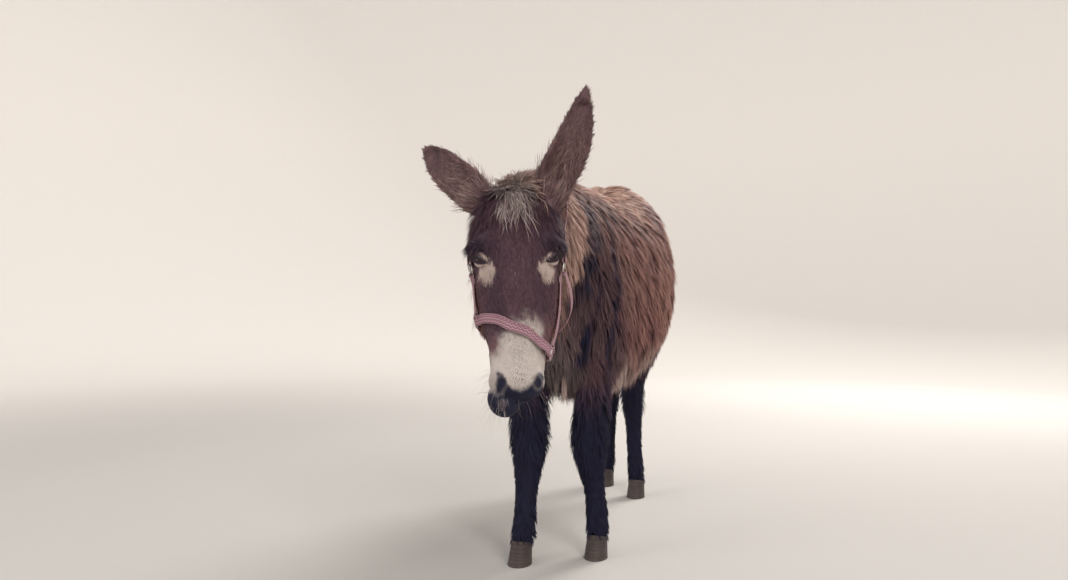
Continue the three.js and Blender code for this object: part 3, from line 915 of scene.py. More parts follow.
def lidded(points, eye):
    """Opens the lids round an eye and raises the skin into them and their folds."""
    reach, turn, radius = eye.polar(points)
    edge = reach - eye_opening(turn)
    upper = step(-0.2, 0.6, np.sin(turn))
    lid = EYE_RADIUS + 0.0030 + 0.0012 * upper
    dome = lid - 0.004 * step(0.018, 0.034, reach)
    raised = np.where(radius > dome, radius, dome + 0.25 * (radius - dome) * step(0.012, 0.03, edge))
    crease = np.exp(-((edge - 0.0085) / 0.0022) ** 2)
    fold = np.exp(-((edge - 0.0135) / 0.004) ** 2)
    raised = raised - (0.0022 * upper + 0.0007) * crease
    raised = raised + 0.0016 * upper * fold
    inside = EYE_RADIUS - 0.0022
    rim_width = 0.0014
    rim = inside + (lid - inside) * step(-0.0016, rim_width, edge)
    moved = eye.place(reach, turn, np.where(edge < rim_width, rim, raised))
    return np.where((reach < LIDS_REACH)[:, None], moved, points)


def closed_skin():
    """All the flesh in one closed mesh, fine on the head and ears, finest at the eyes and muzzle."""
    chosen = settings("skin")
    skin = new_mesh("skin", *joined_flesh())
    whole = skin.modifiers.new("whole", "REMESH")
    whole.mode = "VOXEL"
    whole.voxel_size = chosen.voxel
    applied(skin)
    mesh = skin.data
    points = Neighbours(mesh).smooth(mesh_points(mesh), 10)
    set_points(mesh, points)

    part = nearest_parts(points)
    fine = Neighbours(mesh).smooth(((part == HEAD) | is_ear(part)).astype(float), 8)
    group = skin.vertex_groups.new(name="spare")
    for index in np.nonzero(fine < 0.5)[0].tolist():
        group.add([index], 1.0, "ADD")
    thin = skin.modifiers.new("thin", "DECIMATE")
    thin.vertex_group = group.name
    thin.ratio = min(1.0, chosen.faces / (2 * len(mesh.polygons)))
    applied(skin)
    skin.vertex_groups.clear()
    muzzle = from_head(0, 0.03, 0.515)
    refined(skin.data, close_to((EYE["left"], LIDS_REACH), (EYE["right"], LIDS_REACH), (muzzle, 0.078)))
    refined(skin.data, close_to((EYE["left"], 0.034), (EYE["right"], 0.034)))
    return skin


def build_skin():
    """One skin over all the flesh, inside the solids by the depth of the coat."""
    skin = closed_skin()
    mesh = skin.data
    points = mesh_points(mesh)
    part = nearest_parts(points)
    net = Neighbours(mesh)
    softness = np.full(len(points), LEG_SOFTNESS)
    for label, share in SOFTNESS.items():
        softness[part == label] = share
    _, inward, down = on_head(points).T
    mouth = (part == HEAD) * step(0.46, 0.49, down) * step(0.03, 0.06, inward)
    softness = net.smooth(np.maximum(softness, 0.5 * mouth), 6)
    for turn in range(SOFT_ROUNDS):
        points = net.smooth(points, 1, 0.5 * (softness > turn / SOFT_ROUNDS)[:, None])
    set_points(mesh, points)
    normals = mesh_normals(mesh)
    depth = net.smooth(coat_depth(part, points, normals), 25)
    points = points - net.smooth(normals, 4) * depth[:, None]
    points = net.smooth(points, 2)
    set_points(mesh, points)
    head = net.smooth((part == HEAD).astype(float), 6)
    points = sculpted_skull(points, mesh_normals(mesh), head)
    set_points(mesh, points)
    for eye in EYE_FRAMES:
        points = lidded(points, eye)
    set_points(mesh, points)
    store(mesh, "part", part, "INT")
    marks = markings(part, points, mesh_normals(mesh))
    for name, mask in marks.items():
        store(mesh, name, net.smooth(mask, 1))
    store(mesh, "grey", greying(points) * marks["pale"] * (part == HEAD))
    # Painted shade: the skin between the long hairs of the body is drawn darker than on the short-haired head
    # and ears.
    lit = np.where((part == HEAD) | is_ear(part), 0.75, 0.3)
    store(mesh, "lit", net.smooth(lit, 10))
    return finished(skin, skin_material(), "coat", *FLESH)


# ------------------------------------------------------------------ coat


def middle_line(label):
    """Where a piece of flesh is unrolled from: the ends of its middle line and the way its middle faces."""
    low, high = corners(FLESH[label])
    centre = (low + high) / 2
    if label in EAR_LINES:
        return (*EAR_LINES[label], -BACKWARD)
    if label == HEAD:
        return from_head(0, 0.1, 0), from_head(0, 0.1, 0.56), -INWARD
    if label in (TRUNK, NECK):
        ends = [np.array([centre[0], y, centre[2]]) for y in (low[1], high[1])]
        return (*ends, UPRIGHT)
    ends = [np.array([centre[0], centre[1], z]) for z in (low[2], high[2])]
    return (*ends, np.array([np.sign(centre[0]), 0.0, 0.0]))


def unwrap(part, points):
    """The skin rolled out flat, each piece of flesh in a strip of its own."""
    flat = np.zeros((len(points), 2))
    present = np.unique(part)
    for strip, label in enumerate(present):
        here = part == label
        foot, tip, facing = middle_line(label)
        axis = unit(tip - foot)
        first = unit(facing - axis * (facing @ axis))
        off = points[here] - foot
        turn = np.arctan2(off @ np.cross(axis, first), off @ first) / (2 * math.pi) + 0.5
        flat[here] = np.stack([(strip + turn) / len(present), off @ axis / np.linalg.norm(tip - foot)], 1)
    low, high = flat.min(0), flat.max(0)
    return 0.005 + 0.99 * (flat - low) / (high - low)


class Surface:
    """The finished skin, ready for hair to be rooted in it."""

    def __init__(self):
        mesh = bpy.data.objects["skin"].data
        self.points = mesh_points(mesh)
        self.normals = mesh_normals(mesh)
        self.triangles = mesh_triangles(mesh)
        corner = self.points[self.triangles]
        self.areas = face_areas(corner)
        self.middles = corner.mean(1)
        self.facing = unit(self.normals[self.triangles].mean(1))
        self.part = stored(mesh, "part", np.int32)[self.triangles[:, 0]]

    def roots(self, per_area, seed):
        """Places on the skin, with `per_area` of them on each square metre of each triangle."""
        ends = np.cumsum(self.areas * per_area * settings("coat").thickness)
        count = int(ends[-1])
        chance = np.random.default_rng(seed)
        picks = np.searchsorted(ends, (np.arange(count) + chance.random(count)) * ends[-1] / count)
        first, second = chance.random((2, count))
        over = first + second > 1
        first, second = np.where(over, 1 - first, first), np.where(over, 1 - second, second)
        share = np.stack([1 - first - second, first, second], 1)[:, :, None]
        corner = self.triangles[picks]
        return (
            (self.points[corner] * share).sum(1),
            unit((self.normals[corner] * share).sum(1)),
            self.part[picks],
        )


TUFT_PATCH = 0.003  # width of a tuft's patch on the unrolled skin


def drawn(points, centres, normals, limit):
    """The way along the surface from each point to its centre, cut to a limit."""
    way = flatten(centres - points, normals)
    return way * np.minimum(1, limit / np.maximum(np.linalg.norm(way, axis=1), 1e-9))[:, None]


def grow(name, roots, *, width, lift, clump, lock, seed, rings=3, droop=0.1, curl=0.03, lies=None,
         lengths=None, marks=None):
    """A piece of coat: one tapered blade of hair at each root, drawn together into clumps and locks.

    `lift` is in degrees, `droop` and `curl` are shares of the hair's length, and the rest in metres.
    """
    points, normals, part = roots
    chance = np.random.default_rng(seed)
    count = len(points)
    lies = lie_of_coat(part, points, normals) if lies is None else lies
    lengths = hair_length(part, points, normals) if lengths is None else lengths
    marks = markings(part, points, normals) if marks is None else marks
    fine, fine_luck = cells(points, clump, seed)
    coarse, coarse_luck = cells(points, lock, seed + 50)
    swing = np.radians(30 * (coarse_luck - 0.5) + 26 * (fine_luck - 0.5) + 14 * (chance.random(count) - 0.5))
    sideways = np.cross(normals, lies)
    heading = lies * np.cos(swing)[:, None] + sideways * np.sin(swing)[:, None]
    reach = lengths * (0.66 + 0.36 * fine_luck + 0.16 * coarse_luck + 0.3 * chance.random(count))
    rise = np.radians(lift) * (0.55 + 0.5 * fine_luck + 0.4 * chance.random(count))
    to_fine = drawn(points, fine, normals, 0.5 * reach)
    to_coarse = drawn(points, coarse, normals, 0.5 * reach)
    phase = 2 * math.pi * fine_luck + 0.9 * chance.random(count)
    wave = curl * reach * (0.5 + chance.random(count))

    def at(t):
        bow = 1.3 * t - 0.45 * t * t
        return (
            points - 0.0015 * normals
            + heading * (reach * t * np.cos(rise))[:, None]
            + normals * (reach * bow * np.sin(rise))[:, None]
            + to_fine * (0.85 * t**1.2) + to_coarse * (0.42 * t * t)
            - UPRIGHT * (droop * reach * t * t)[:, None]
            + sideways * (wave * t * np.sin(phase + 5 * t))[:, None])

    spin = np.radians(70) * (chance.random(count) - 0.5)
    half = width / 2 * (0.7 + 0.6 * chance.random(count))
    layers = []
    for ring in range(rings):
        t = ring / rings
        way = at(t + 0.05) - at(t)
        flat = unit(np.cross(way, normals))
        blade = flat * np.cos(spin)[:, None] + normals * np.sin(spin)[:, None]
        edge = blade * (half * (1 - 0.7 * t * t) * (0.8 if ring == 0 else 1))[:, None]
        layers += [at(t) - edge, at(t) + edge]
    layers.append(at(1.0))
    per_hair = len(layers)
    vertices = np.stack(layers, 1).reshape(-1, 3)
    base = (np.arange(count) * per_hair)[:, None]
    quads = np.concatenate([base + np.array([0, 1, 3, 2]) + 2 * k for k in range(rings - 1)])
    tips = base + np.array([0, 1, 2]) + 2 * (rings - 1)
    piece = new_mesh(name, vertices, [quads, tips])

    share = np.append(np.repeat(np.arange(rings) / rings, 2), 1.0)
    store(piece.data, "along", np.tile(share, count))
    luck = 0.34 * fine_luck + 0.26 * coarse_luck + 0.4 * chance.random(count)
    store(piece.data, "tone", np.repeat(luck, per_hair))
    for mark, mask in marks.items():
        store(piece.data, mark, np.repeat(mask, per_hair))
    across = np.append(np.tile([0.0, 1.0], rings), 0.5)
    patch = TUFT_PATCH * (np.stack([across, share], 1) - 0.5)
    lay_flat(piece.data, "OFBake", (unwrap(part, points)[:, None, :] + patch[None]).reshape(-1, 2))
    return finished(piece, hair_material(name), "coat")


def streaked(marks, seed, **tops):
    """Markings in which each hair takes its own share, up to `tops`, in place of an even one."""
    chance = np.random.default_rng(seed)
    for mark, top in tops.items():
        marks[mark] = np.maximum(marks[mark] * 0.3, top * chance.random(len(marks[mark])) ** 1.5)
    return marks


def grow_body(surface):
    """The shaggy coat of trunk and neck, in pieces, each with its density, lift and droop."""
    facing, part, place = surface.facing, surface.part, surface.middles
    trunk = part == TRUNK
    back, under = facing[:, 2] > 0.55, facing[:, 2] < -0.5
    flank = trunk & ~back & ~under
    left, front = place[:, 0] > middle("trunk")[0], place[:, 1] < 0.1
    regions = {
        "coat_back": (trunk & back, 64000, 20, 0.1),
        "coat_shoulder_left": (flank & left & front, 92000, 19, 0.16),
        "coat_hip_left": (flank & left & ~front, 78000, 19, 0.16),
        "coat_flank_right": (flank & ~left, 64000, 19, 0.16),
        "coat_belly": (trunk & under, 38000, 22, 0.3),
        "coat_neck": (part == NECK, 108000, 21, 0.14),
    }
    for seed, (name, (where, per_area, lift, droop)) in enumerate(regions.items(), 11):
        width = 0.0025 if per_area < 70000 else 0.0021
        grow(name, surface.roots(where * per_area, seed), width=width, lift=lift, clump=0.016, lock=0.062,
             droop=droop, seed=seed)


def grow_legs(surface):
    """Shaggy forearms and thighs, growing short down the cannons, with longer hair over the hooves."""
    for name, legs, seed in (("coat_forelegs", LEG_PARTS[:2], 21), ("coat_hindlegs", LEG_PARTS[2:], 22)):
        per_area = 40000 + 45000 * step(0.45, 0.25, surface.middles[:, 2])
        roots = surface.roots(np.isin(surface.part, legs) * per_area, seed)
        grow(name, roots, width=0.0023, lift=18, clump=0.009, lock=0.03, seed=seed)


def grow_head(surface):
    """Short fur that lies flat on the face, longer behind the cheeks and under the jaw."""
    side, inward, down = on_head(surface.middles).T
    head = surface.part == HEAD
    near_eye = np.min([np.linalg.norm(surface.middles - eye, axis=1) for eye in EYE.values()], axis=0)
    front = inward < 0.085
    clear = step(0.021, 0.027, near_eye)
    face = head * front * clear * (285000 + 60000 * step(0.4, 0.5, down))
    points, normals, part = surface.roots(face, seed=31)
    side, inward, down = on_head(points).T
    marks = markings(part, points, normals)
    chance = np.random.default_rng(31)
    luck = chance.random(len(points))
    tick = cells(points, 0.0034, 33)[1]
    marks["dark"] = np.maximum(marks["dark"], (tick < greying(points)) * marks["pale"] * (0.3 + 0.5 * luck))
    star = step(0.024, 0.008, np.abs(side)) * step(0.045, 0.02, np.abs(down - 0.21))
    marks["pale"] = np.maximum(marks["pale"], (luck < 0.05 * star) * 0.8)
    grow("coat_face", (points, normals, part), width=0.0009, lift=13, clump=0.006, lock=0.022, rings=2,
         droop=0.02, curl=0.02, seed=31, marks=marks)
    grow("coat_cheeks", surface.roots(head * ~front * 120000, seed=32), width=0.0019, lift=19, clump=0.009,
         lock=0.03, droop=0.08, seed=32)


def grow_ears(surface):
    """Plush on the ears, with long pale hair in their hollows."""
    ear = is_ear(surface.part)
    along = up_the_ear(surface.part, surface.middles)
    grow("coat_ears", surface.roots(ear * 170000, seed=41), width=0.0014, lift=19, clump=0.007, lock=0.022,
         droop=0.04, seed=41)
    inner = ear & (surface.facing @ -BACKWARD > 0.25) & (along < 0.55)
    points, normals, part = surface.roots(inner * 40000 * (1 - along) ** 2, seed=42)
    height = up_the_ear(part, points)
    marks = streaked(markings(part, points, normals), 42, bleach=0.75, pale=0.2)
    grow("hair_in_ears", (points, normals, part), width=0.0011, lift=34, clump=0.010, lock=0.03, droop=0.05,
         seed=42, lengths=0.048 - 0.03 * height, marks=marks)


def grow_mane(surface):
    """Short mane along the crest of the neck."""
    place = surface.middles
    crest = (surface.part == NECK) & (surface.facing[:, 2] > 0.75)
    crest = crest & (np.abs(on_head(place)[:, 0]) < 0.03 + 0.5 * np.abs(place[:, 0]))
    points, normals, label = surface.roots(crest * 90000, seed=51)
    marks = markings(label, points, normals)
    marks["dark"] = np.clip(marks["dark"] + 0.25, 0, 1)
    grow("mane", (points, normals, label), width=0.0026, lift=48, clump=0.014, lock=0.05, rings=4, droop=0.3,
         seed=51, lies=unit(flatten(np.array([0.45, 0.5, 0.0]), normals)),
         lengths=np.full(len(points), 0.06), marks=marks)


def grow_forelock(surface):
    """Pale forelock from the poll down the forehead, its upper hair standing."""
    part = surface.part
    side, inward, down = on_head(surface.middles).T
    poll = ((part == HEAD) | (part == NECK)) & (np.abs(side) < 0.042) & (down < 0.09) & (inward < 0.16)
    thick = step(0.042, 0.018, np.abs(side)) * step(0.09, -0.02, down)
    points, normals, label = surface.roots(poll * thick * 140000, seed=52)
    chance = np.random.default_rng(52)
    stray = 0.28 * chance.normal(size=(len(points), 3))
    marks = markings(label, points, normals)
    marks["pale"] = 0.35 + 0.6 * chance.random(len(points))
    marks["dark"] = 0.12 * chance.random(len(points))
    marks["ruddy"] = np.full(len(points), 0.4)
    upright = step(0.0, -0.04, on_head(points)[:, 2])
    lengths = 0.035 + 0.04 * chance.random(len(points)) - 0.01 * upright
    grow("forelock", (points, normals, label), width=0.0012, lift=14 + 34 * upright, clump=0.014, lock=0.03,
         rings=5, droop=0.2, curl=0.06, seed=52, lies=unit(flatten(DOWN - 0.3 * INWARD + stray, normals)),
         lengths=lengths, marks=marks)


def grow_jaw_locks(surface):
    """Streaked locks under the jaw, longer on the left."""
    _, inward, down = on_head(surface.middles).T
    jaw = (surface.part == HEAD) & (inward > 0.12) & (down > 0.02) & (down < 0.3)
    points, normals, label = surface.roots(jaw * 34000, seed=54)
    side, _, down = on_head(points).T
    outward_side = np.sign(side)[:, None] * SIDE
    marks = streaked(markings(label, points, normals), 54, bleach=0.9, ruddy=1.0)
    marks["dark"] = 0.2 * marks["dark"]
    grow("jaw_locks", (points, normals, label), width=0.0015, lift=26, clump=0.014, lock=0.05, rings=4,
         droop=0.2, seed=54, lies=unit(flatten(0.9 * DOWN + 0.6 * INWARD + 0.5 * outward_side, normals)),
         lengths=np.where(side > 0, 0.058, 0.032) + 0.012 * np.sin(90 * down), marks=marks)


def grow_chest_tuft(surface):
    """A pale tuft between the fore legs."""
    place = surface.middles
    chest = (surface.part == TRUNK) & (surface.facing[:, 2] < 0)
    chest = chest & (np.hypot(place[:, 0] - 0.024, place[:, 1] + 0.28) < 0.017)
    points, normals, label = surface.roots(chest * 90000, seed=55)
    marks = streaked(markings(label, points, normals), 55, bleach=1.0, pale=0.9)
    marks["dark"] = 0.3 * marks["dark"]
    grow("chest_tuft", (points, normals, label), width=0.0014, lift=48, clump=0.02, lock=0.05, rings=5,
         droop=0.6, seed=55, lies=unit(flatten(np.array([0.0, 0.3, -1.0]), normals)),
         lengths=np.full(len(points), 0.07), marks=marks)


def grow_tail(surface):
    """Short hair on the root of the tail and a long dark switch below."""
    points, normals, label = surface.roots((surface.part == TAIL) * 90000, seed=53)
    switch = step(0.78, 0.6, points[:, 2])
    marks = markings(label, points, normals)
    marks["dark"] = np.clip(marks["dark"] + 0.3 * switch, 0, 1)
    grow("coat_tail", (points, normals, label), width=0.0024, lift=10, clump=0.014, lock=0.03, rings=5,
         droop=0.2, seed=53, lengths=0.04 + 0.052 * switch, marks=marks)


# ------------------------------------------------------------------ eyes


def eye_material():
    """Dark brown iris with fine spokes round a level, oblong pupil, under a wet clear front."""
    shader = Shader("eye", roughness=0.12, specular=0.15, coat=0.25)
    across, up = shader.kept("across"), shader.kept("up")
    spread = (across * across + up * up) ** 0.5
    spokes = shader.noise(shader.laid((900, 900, 900)), 1.0, 2.0)
    pupil = ((across / 0.0062) ** 4 + (up / 0.0032) ** 4).rise(1.25, 0.8)
    chestnut, soot, black = (0.04, 0.018, 0.010), (0.008, 0.006, 0.006), (0.004, 0.004, 0.006)
    umber, fawn = (0.022, 0.014, 0.012), (0.05, 0.034, 0.03)
    iris = shader.blend(spokes * spread.rise(0.003, 0.011), settings("eyes").iris, chestnut)
    white = shader.blend(spokes, umber, fawn)
    tint = shader.blend(spread.rise(0.0125, 0.0145), iris, white)
    dark_ring = ((spread - 0.0128) / 0.0014) ** 2 * -1.0 + 1.0
    tint = shader.blend(dark_ring, tint, soot)
    shader.feed("Base Color", shader.blend(pupil, tint, black))
    shader.feed("Roughness", spokes * 0.06 + 0.08)
    return shader.material


def rings_mesh(name, rings):
    """A mesh over closed rings of points, each cap closed on its ring's middle."""
    count, around = rings.shape[:2]
    points = rings.reshape(-1, 3)
    middles = np.stack([rings[0].mean(0), rings[-1].mean(0)])
    here = np.arange(around)
    after = (here + 1) % around
    last = (count - 1) * around
    first_cap = np.stack([np.full(around, len(points)), after, here], 1)
    last_cap = np.stack([np.full(around, len(points) + 1), last + here, last + after], 1)
    return new_mesh(name, np.concatenate([points, middles]), [ring_quads(count, around), first_cap, last_cap])


def outward(piece):
    """Turns the faces of a closed piece so that they look outwards."""
    faces = bmesh.new()
    faces.from_mesh(piece.data)
    bmesh.ops.recalc_face_normals(faces, faces=faces.faces)
    faces.to_mesh(piece.data)
    faces.free()
    return piece


def build_eyes():
    """Both eyeballs, each with a bulging clear front and its own map round the gaze."""
    reach = EYE_RADIUS * np.linspace(0.02, math.pi - 0.02, 44)
    far, round_it = np.meshgrid(reach, full_turn(64), indexing="ij")
    bulge = 0.0012 * step(0.0135, 0.005, far)
    inset = 0.0002
    material = eye_material()
    for name, eye in zip(SIDES, EYE_FRAMES):
        ball = outward(rings_mesh("eyeball_" + name, eye.place(far, round_it, EYE_RADIUS - inset + bulge)))
        spots = mesh_points(ball.data)
        lean, turned, _ = eye.polar(spots)
        store(ball.data, "across", lean * np.cos(turned))
        store(ball.data, "up", lean * np.sin(turned))
        finished(ball, material, "eye", "eye_" + name)


# ------------------------------------------------------------------ bristles and stitches


def strand_tree(material):
    """Node tree that sets one bent, tapered strand on each point, turned and scaled by its numbers."""
    tree = bpy.data.node_groups.new("strands", "GeometryNodeTree")
    sockets = (
        ("Geometry", "NodeSocketGeometry", None), ("Start", "NodeSocketVector", (0, 0, 0)),
        ("Middle", "NodeSocketVector", (0, 0, 0.5)), ("End", "NodeSocketVector", (0, 0, 1)),
        ("Thickness", "NodeSocketFloat", 0.01), ("Taper", "NodeSocketFloat", 0.8),
        ("Segments", "NodeSocketInt", 6))
    for name, kind, default in sockets:
        socket = tree.interface.new_socket(name, in_out="INPUT", socket_type=kind)
        if default is not None:
            socket.default_value = default
    tree.interface.new_socket("Geometry", in_out="OUTPUT", socket_type="NodeSocketGeometry")

    def add(kind, links, **options):
        node = tree.nodes.new(kind)
        for option, value in options.items():
            setattr(node, option, value)
        for key, value in links.items():
            if isinstance(value, bpy.types.NodeSocket):
                tree.links.new(value, node.inputs[key])
            else:
                node.inputs[key].default_value = value
        return node

    given = tree.nodes.new("NodeGroupInput").outputs
    curve = add("GeometryNodeCurveQuadraticBezier", {
        "Resolution": given["Segments"], "Start": given["Start"], "Middle": given["Middle"],
        "End": given["End"]})
    along = add("GeometryNodeSplineParameter", {})
    fall = add("ShaderNodeMath", {0: along.outputs["Factor"], 1: given["Taper"]}, operation="MULTIPLY")
    thick = add("ShaderNodeMath", {0: 1.0, 1: fall.outputs[0]}, operation="SUBTRACT")
    sized = add("GeometryNodeSetCurveRadius", {"Curve": curve.outputs[0], "Radius": thick.outputs[0]})
    circle = add("GeometryNodeCurvePrimitiveCircle", {"Resolution": 5, "Radius": given["Thickness"]})
    body = add("GeometryNodeCurveToMesh", {
        "Curve": sized.outputs[0], "Profile Curve": circle.outputs[0], "Fill Caps": True})
    if "Scale" in body.inputs:
        tree.links.new(thick.outputs[0], body.inputs["Scale"])
    turn = add("GeometryNodeInputNamedAttribute", {"Name": "turn"}, data_type="FLOAT_VECTOR")
    facing = add("FunctionNodeEulerToRotation", {0: turn.outputs[0]})
    size = add("GeometryNodeInputNamedAttribute", {"Name": "size"}, data_type="FLOAT")
    placed = add("GeometryNodeInstanceOnPoints", {
        "Points": given["Geometry"], "Instance": body.outputs[0], "Rotation": facing.outputs[0],
        "Scale": size.outputs[0]})
    real = add("GeometryNodeRealizeInstances", {"Geometry": placed.outputs[0]})
    dressed = add("GeometryNodeSetMaterial", {"Geometry": real.outputs[0], "Material": material})
    add("NodeGroupOutput", {"Geometry": dressed.outputs[0]})
    return tree


def strands(name, roots, axes, sizes, material, slot, **inputs):
    """One mesh of many strands: each stands on its root, its own X and Z given by `axes`."""
    mesh = bpy.data.meshes.new(name)
    mesh.from_pydata(roots.tolist(), [], [])
    piece = added(name, mesh)
    x_axis, z_axis = axes
    z_axis = unit(z_axis)
    x_axis = unit(flatten(x_axis, z_axis))
    basis = np.stack([x_axis, np.cross(z_axis, x_axis), z_axis], 2)
    turns = np.array([Matrix(one).to_euler()[:] for one in basis])
    attribute = mesh.attributes.new("turn", "FLOAT_VECTOR", "POINT")
    attribute.data.foreach_set("vector", turns.astype(np.float32).ravel())
    store(mesh, "size", sizes)
    tree = strand_tree(material)
    maker = piece.modifiers.new("strands", "NODES")
    maker.node_group = tree
    for socket in tree.interface.items_tree:
        if socket.in_out == "INPUT" and socket.name.lower() in inputs:
            maker[socket.identifier] = inputs[socket.name.lower()]
    return finished(applied(piece), material, slot)


def bristle_material(name, pale, dark):
    shader = Shader(name, specular=0.3)
    patch = shader.noise(shader.place(), 90.0, 2.0)
    shader.feed("Base Color", shader.blend(patch, dark, pale))
    shader.feed("Roughness", patch * 0.3 + 0.4)
    return shader.material


def grow_whiskers(surface):
    """Long whiskers on lips and chin, thickest on the right, and a few over each eye."""
    chance = np.random.default_rng(61)
    side, inward, down = on_head(surface.middles).T
    head = surface.part == HEAD
    lips = head * step(0.455, 0.49, down) * step(0.012, 0.03, inward) * step(0.15, 0.1, inward)
    brows = head * step(0.135, 0.145, down) * step(0.17, 0.155, down) * (np.abs(side) > 0.07)
    right = step(-0.02, -0.045, side)
    places = lips * (500 + 4800 * right) + brows * (inward < 0.06) * 2000
    points, normals, _ = surface.roots(places, seed=61)
    count = len(points)
    ways = normals + 0.5 * DOWN + 0.22 * chance.normal(size=(count, 3))
    strands(
        "whiskers", points - 0.001 * normals, (DOWN, ways), 0.022 + 0.034 * chance.random(count),
        bristle_material("whiskers", (0.62, 0.56, 0.52), (0.20, 0.16, 0.16)), "coat",
        middle=(0.0, 0.0, 0.5), end=(0.22, 0.0, 0.96), thickness=0.0055, taper=0.75, segments=6)


def grow_lashes():
    """A row of lashes on each upper lid and a thinner one below."""
    chance = np.random.default_rng(62)
    roots, ways, sizes = [], [], []
    for eye in EYE_FRAMES:
        for upper, count, long in ((True, 40, 0.015), (False, 18, 0.007)):
            spread = np.linspace(0.32, math.pi - 0.25, count) + 0.03 * chance.normal(size=count)
            turn = spread if upper else -spread
            edge = eye_opening(turn) + 0.0012
            spots = eye.place(edge, turn, np.full(count, EYE_RADIUS + 0.0026))
            out = unit(spots - eye.middle)
            fall = (-0.75 if upper else -0.45) * eye.up
            fan = 0.5 * np.cos(turn)[:, None] * eye.outer
            roots.append(spots)
            ways.append(out + fall + fan + 0.1 * chance.normal(size=(count, 3)))
            sizes.append(long * (0.7 + 0.5 * chance.random(count)))
    strands(
        "lashes", np.concatenate(roots), (-DOWN, np.concatenate(ways)), np.concatenate(sizes),
        bristle_material("lashes", (0.05, 0.035, 0.035), (0.012, 0.01, 0.012)), "coat",
        middle=(0.02, 0.0, 0.5), end=(0.2, 0.0, 0.95), thickness=0.014, taper=0.85, segments=5)


# ------------------------------------------------------------------ hooves

SOLE = ((0.30, 0.004), (0.78, 0.0022), (0.93, 0.0))  # share of the width, and height, of each ring under it
HOOF_STRETCH = 50 / 38  # length to width
HOOF_INSET = 0.0006  # of the wall inside the solid
CORONET_SLOPE = 0.3
CORONET_DROP = 0.0132  # of its middle below its front
TOE_LEAN = 0.02  # of the coronet behind the ground


def build_hooves():
    """Hooves with growth rings, a soft coronet, heels and a sole that is hollowed off the ground."""
    around = full_turn(72)
    back = np.abs((around - math.pi / 2 + math.pi) % (2 * math.pi) - math.pi)
    cleft = 1 - 0.13 * np.exp(-((back / 0.2) ** 2)) + 0.05 * np.exp(-(((back - 0.5) / 0.25) ** 2))
    stations = [(0.0, flare, 0.0, raised) for flare, raised in SOLE]
    for h in np.linspace(0.015, 1.0, 34):
        growth = 0.0005 * math.sin(h * 46) + 0.0003 * math.sin(h * 113 + 2)
        growth += 0.002 * math.exp(-(((h - 0.93) / 0.05) ** 2))
        stations.append((h, 0.98 - 0.13 * h - 0.02 * step(0.0, 0.06, h), growth, 0.0))
    stations.append((1.0, 0.66, 0.0, 0.001))
    material = horn_material()
    for leg in LEGS:
        node = leg.replace("leg", "hoof")
        low, high = corners(node)
        wide = (high[0] - low[0]) / 2 - HOOF_INSET
        deep = wide * HOOF_STRETCH
        top = high[2] - CORONET_DROP
        middle_x = (low[0] + high[0]) / 2
        middle_y = low[1] + deep + HOOF_INSET
        rings = []
        for h, flare, growth, raised in stations:
            size_x = (wide * flare + growth) * (0.5 + 0.5 * cleft)
            size_y = (deep * flare + growth) * cleft
            off = size_y * np.sin(around)
            x, y = middle_x + size_x * np.cos(around), middle_y + TOE_LEAN * h + off
            rings.append(np.stack([x, y, top * h - CORONET_SLOPE * h * off + raised], 1))
        finished(outward(rings_mesh(node + "_wall", np.array(rings))), material, "horn", node)


# ------------------------------------------------------------------ halter

WEB_WIDTH, WEB_THICK = 0.025, 0.0026
WEB_STEP = 0.005  # between the rings of points along a strap
STITCHES = np.linspace(0.006, 0.021, 6)  # places from the end of a strap
STITCH_ROWS = (-0.32, 0.32)  # shares of the strap's width from its middle
RING_HALF = 0.0150  # middle of a ring to the middle of its bar
RING_BAR = 0.0023
BAR_SIDES = 12
HEAD_CORE = from_head(0, 0.12, 0.3)
STRAPS = {
    "noseband": ("ring_right", "ring_left"),
    "chin_strap": ("ring_right", "ring_left"),
    "cheek_strap_left": ("ring_left", "buckle_left"),
    "cheek_strap_right": ("ring_right", "buckle_right"),
    "crownpiece": ("buckle_right", "buckle_left"),
    "throat_strap": ("buckle_right", "buckle_left"),
}


def strap_path(node):
    """Middles, ways across and ways out of the rings of a CAD strap, from one end to the other."""
    points, _, triangles = node_mesh(node)
    beside = [set() for _ in points]
    for a, b, c in triangles:
        beside[a] |= {b, c}
        beside[b] |= {a, c}
        beside[c] |= {a, b}
    caps = [k for k, others in enumerate(beside) if len(others) == 4]
    start = max(caps, key=lambda k: -np.linalg.norm(points[list(beside[k])] - points[k], axis=1).mean())
    ring, seen, rings = sorted(beside[start]), {start}, []
    while len(ring) == 4:
        rings.append(points[ring])
        seen |= set(ring)
        ring = sorted({k for near in ring for k in beside[near]} - seen - set(caps))
    middles = np.array([one.mean(0) for one in rings])
    across, out = [], []
    for one in rings:
        gaps = np.linalg.norm(one - one[0], axis=1)
        order = np.argsort(gaps)
        thick, wide = one[order[1]] - one[0], one[order[2]] - one[0]
        wide = wide - unit(thick) * (wide @ unit(thick))
        away = unit(thick)
        if out and away @ out[-1] < 0 or not out and away @ (one.mean(0) - HEAD_CORE) < 0:
            away = -away
        wide = unit(wide)
        if across and wide @ across[-1] < 0:
            wide = -wide
        across.append(wide)
        out.append(away)
    return middles, np.array(across), np.array(out)


def even(path, spacing):
    """A smooth path resampled at an even spacing; each item is an array with a row for each station."""
    at = distances(path[0])
    new = np.linspace(0, at[-1], max(4, int(round(at[-1] / spacing)) + 1))
    out = [np.stack([np.interp(new, at, column) for column in item.T], 1) for item in path]
    for _ in range(6):
        for item in out:
            item[1:-1] = 0.5 * item[1:-1] + 0.25 * (item[:-2] + item[2:])
    return [out[0], unit(out[1]), unit(out[2])]


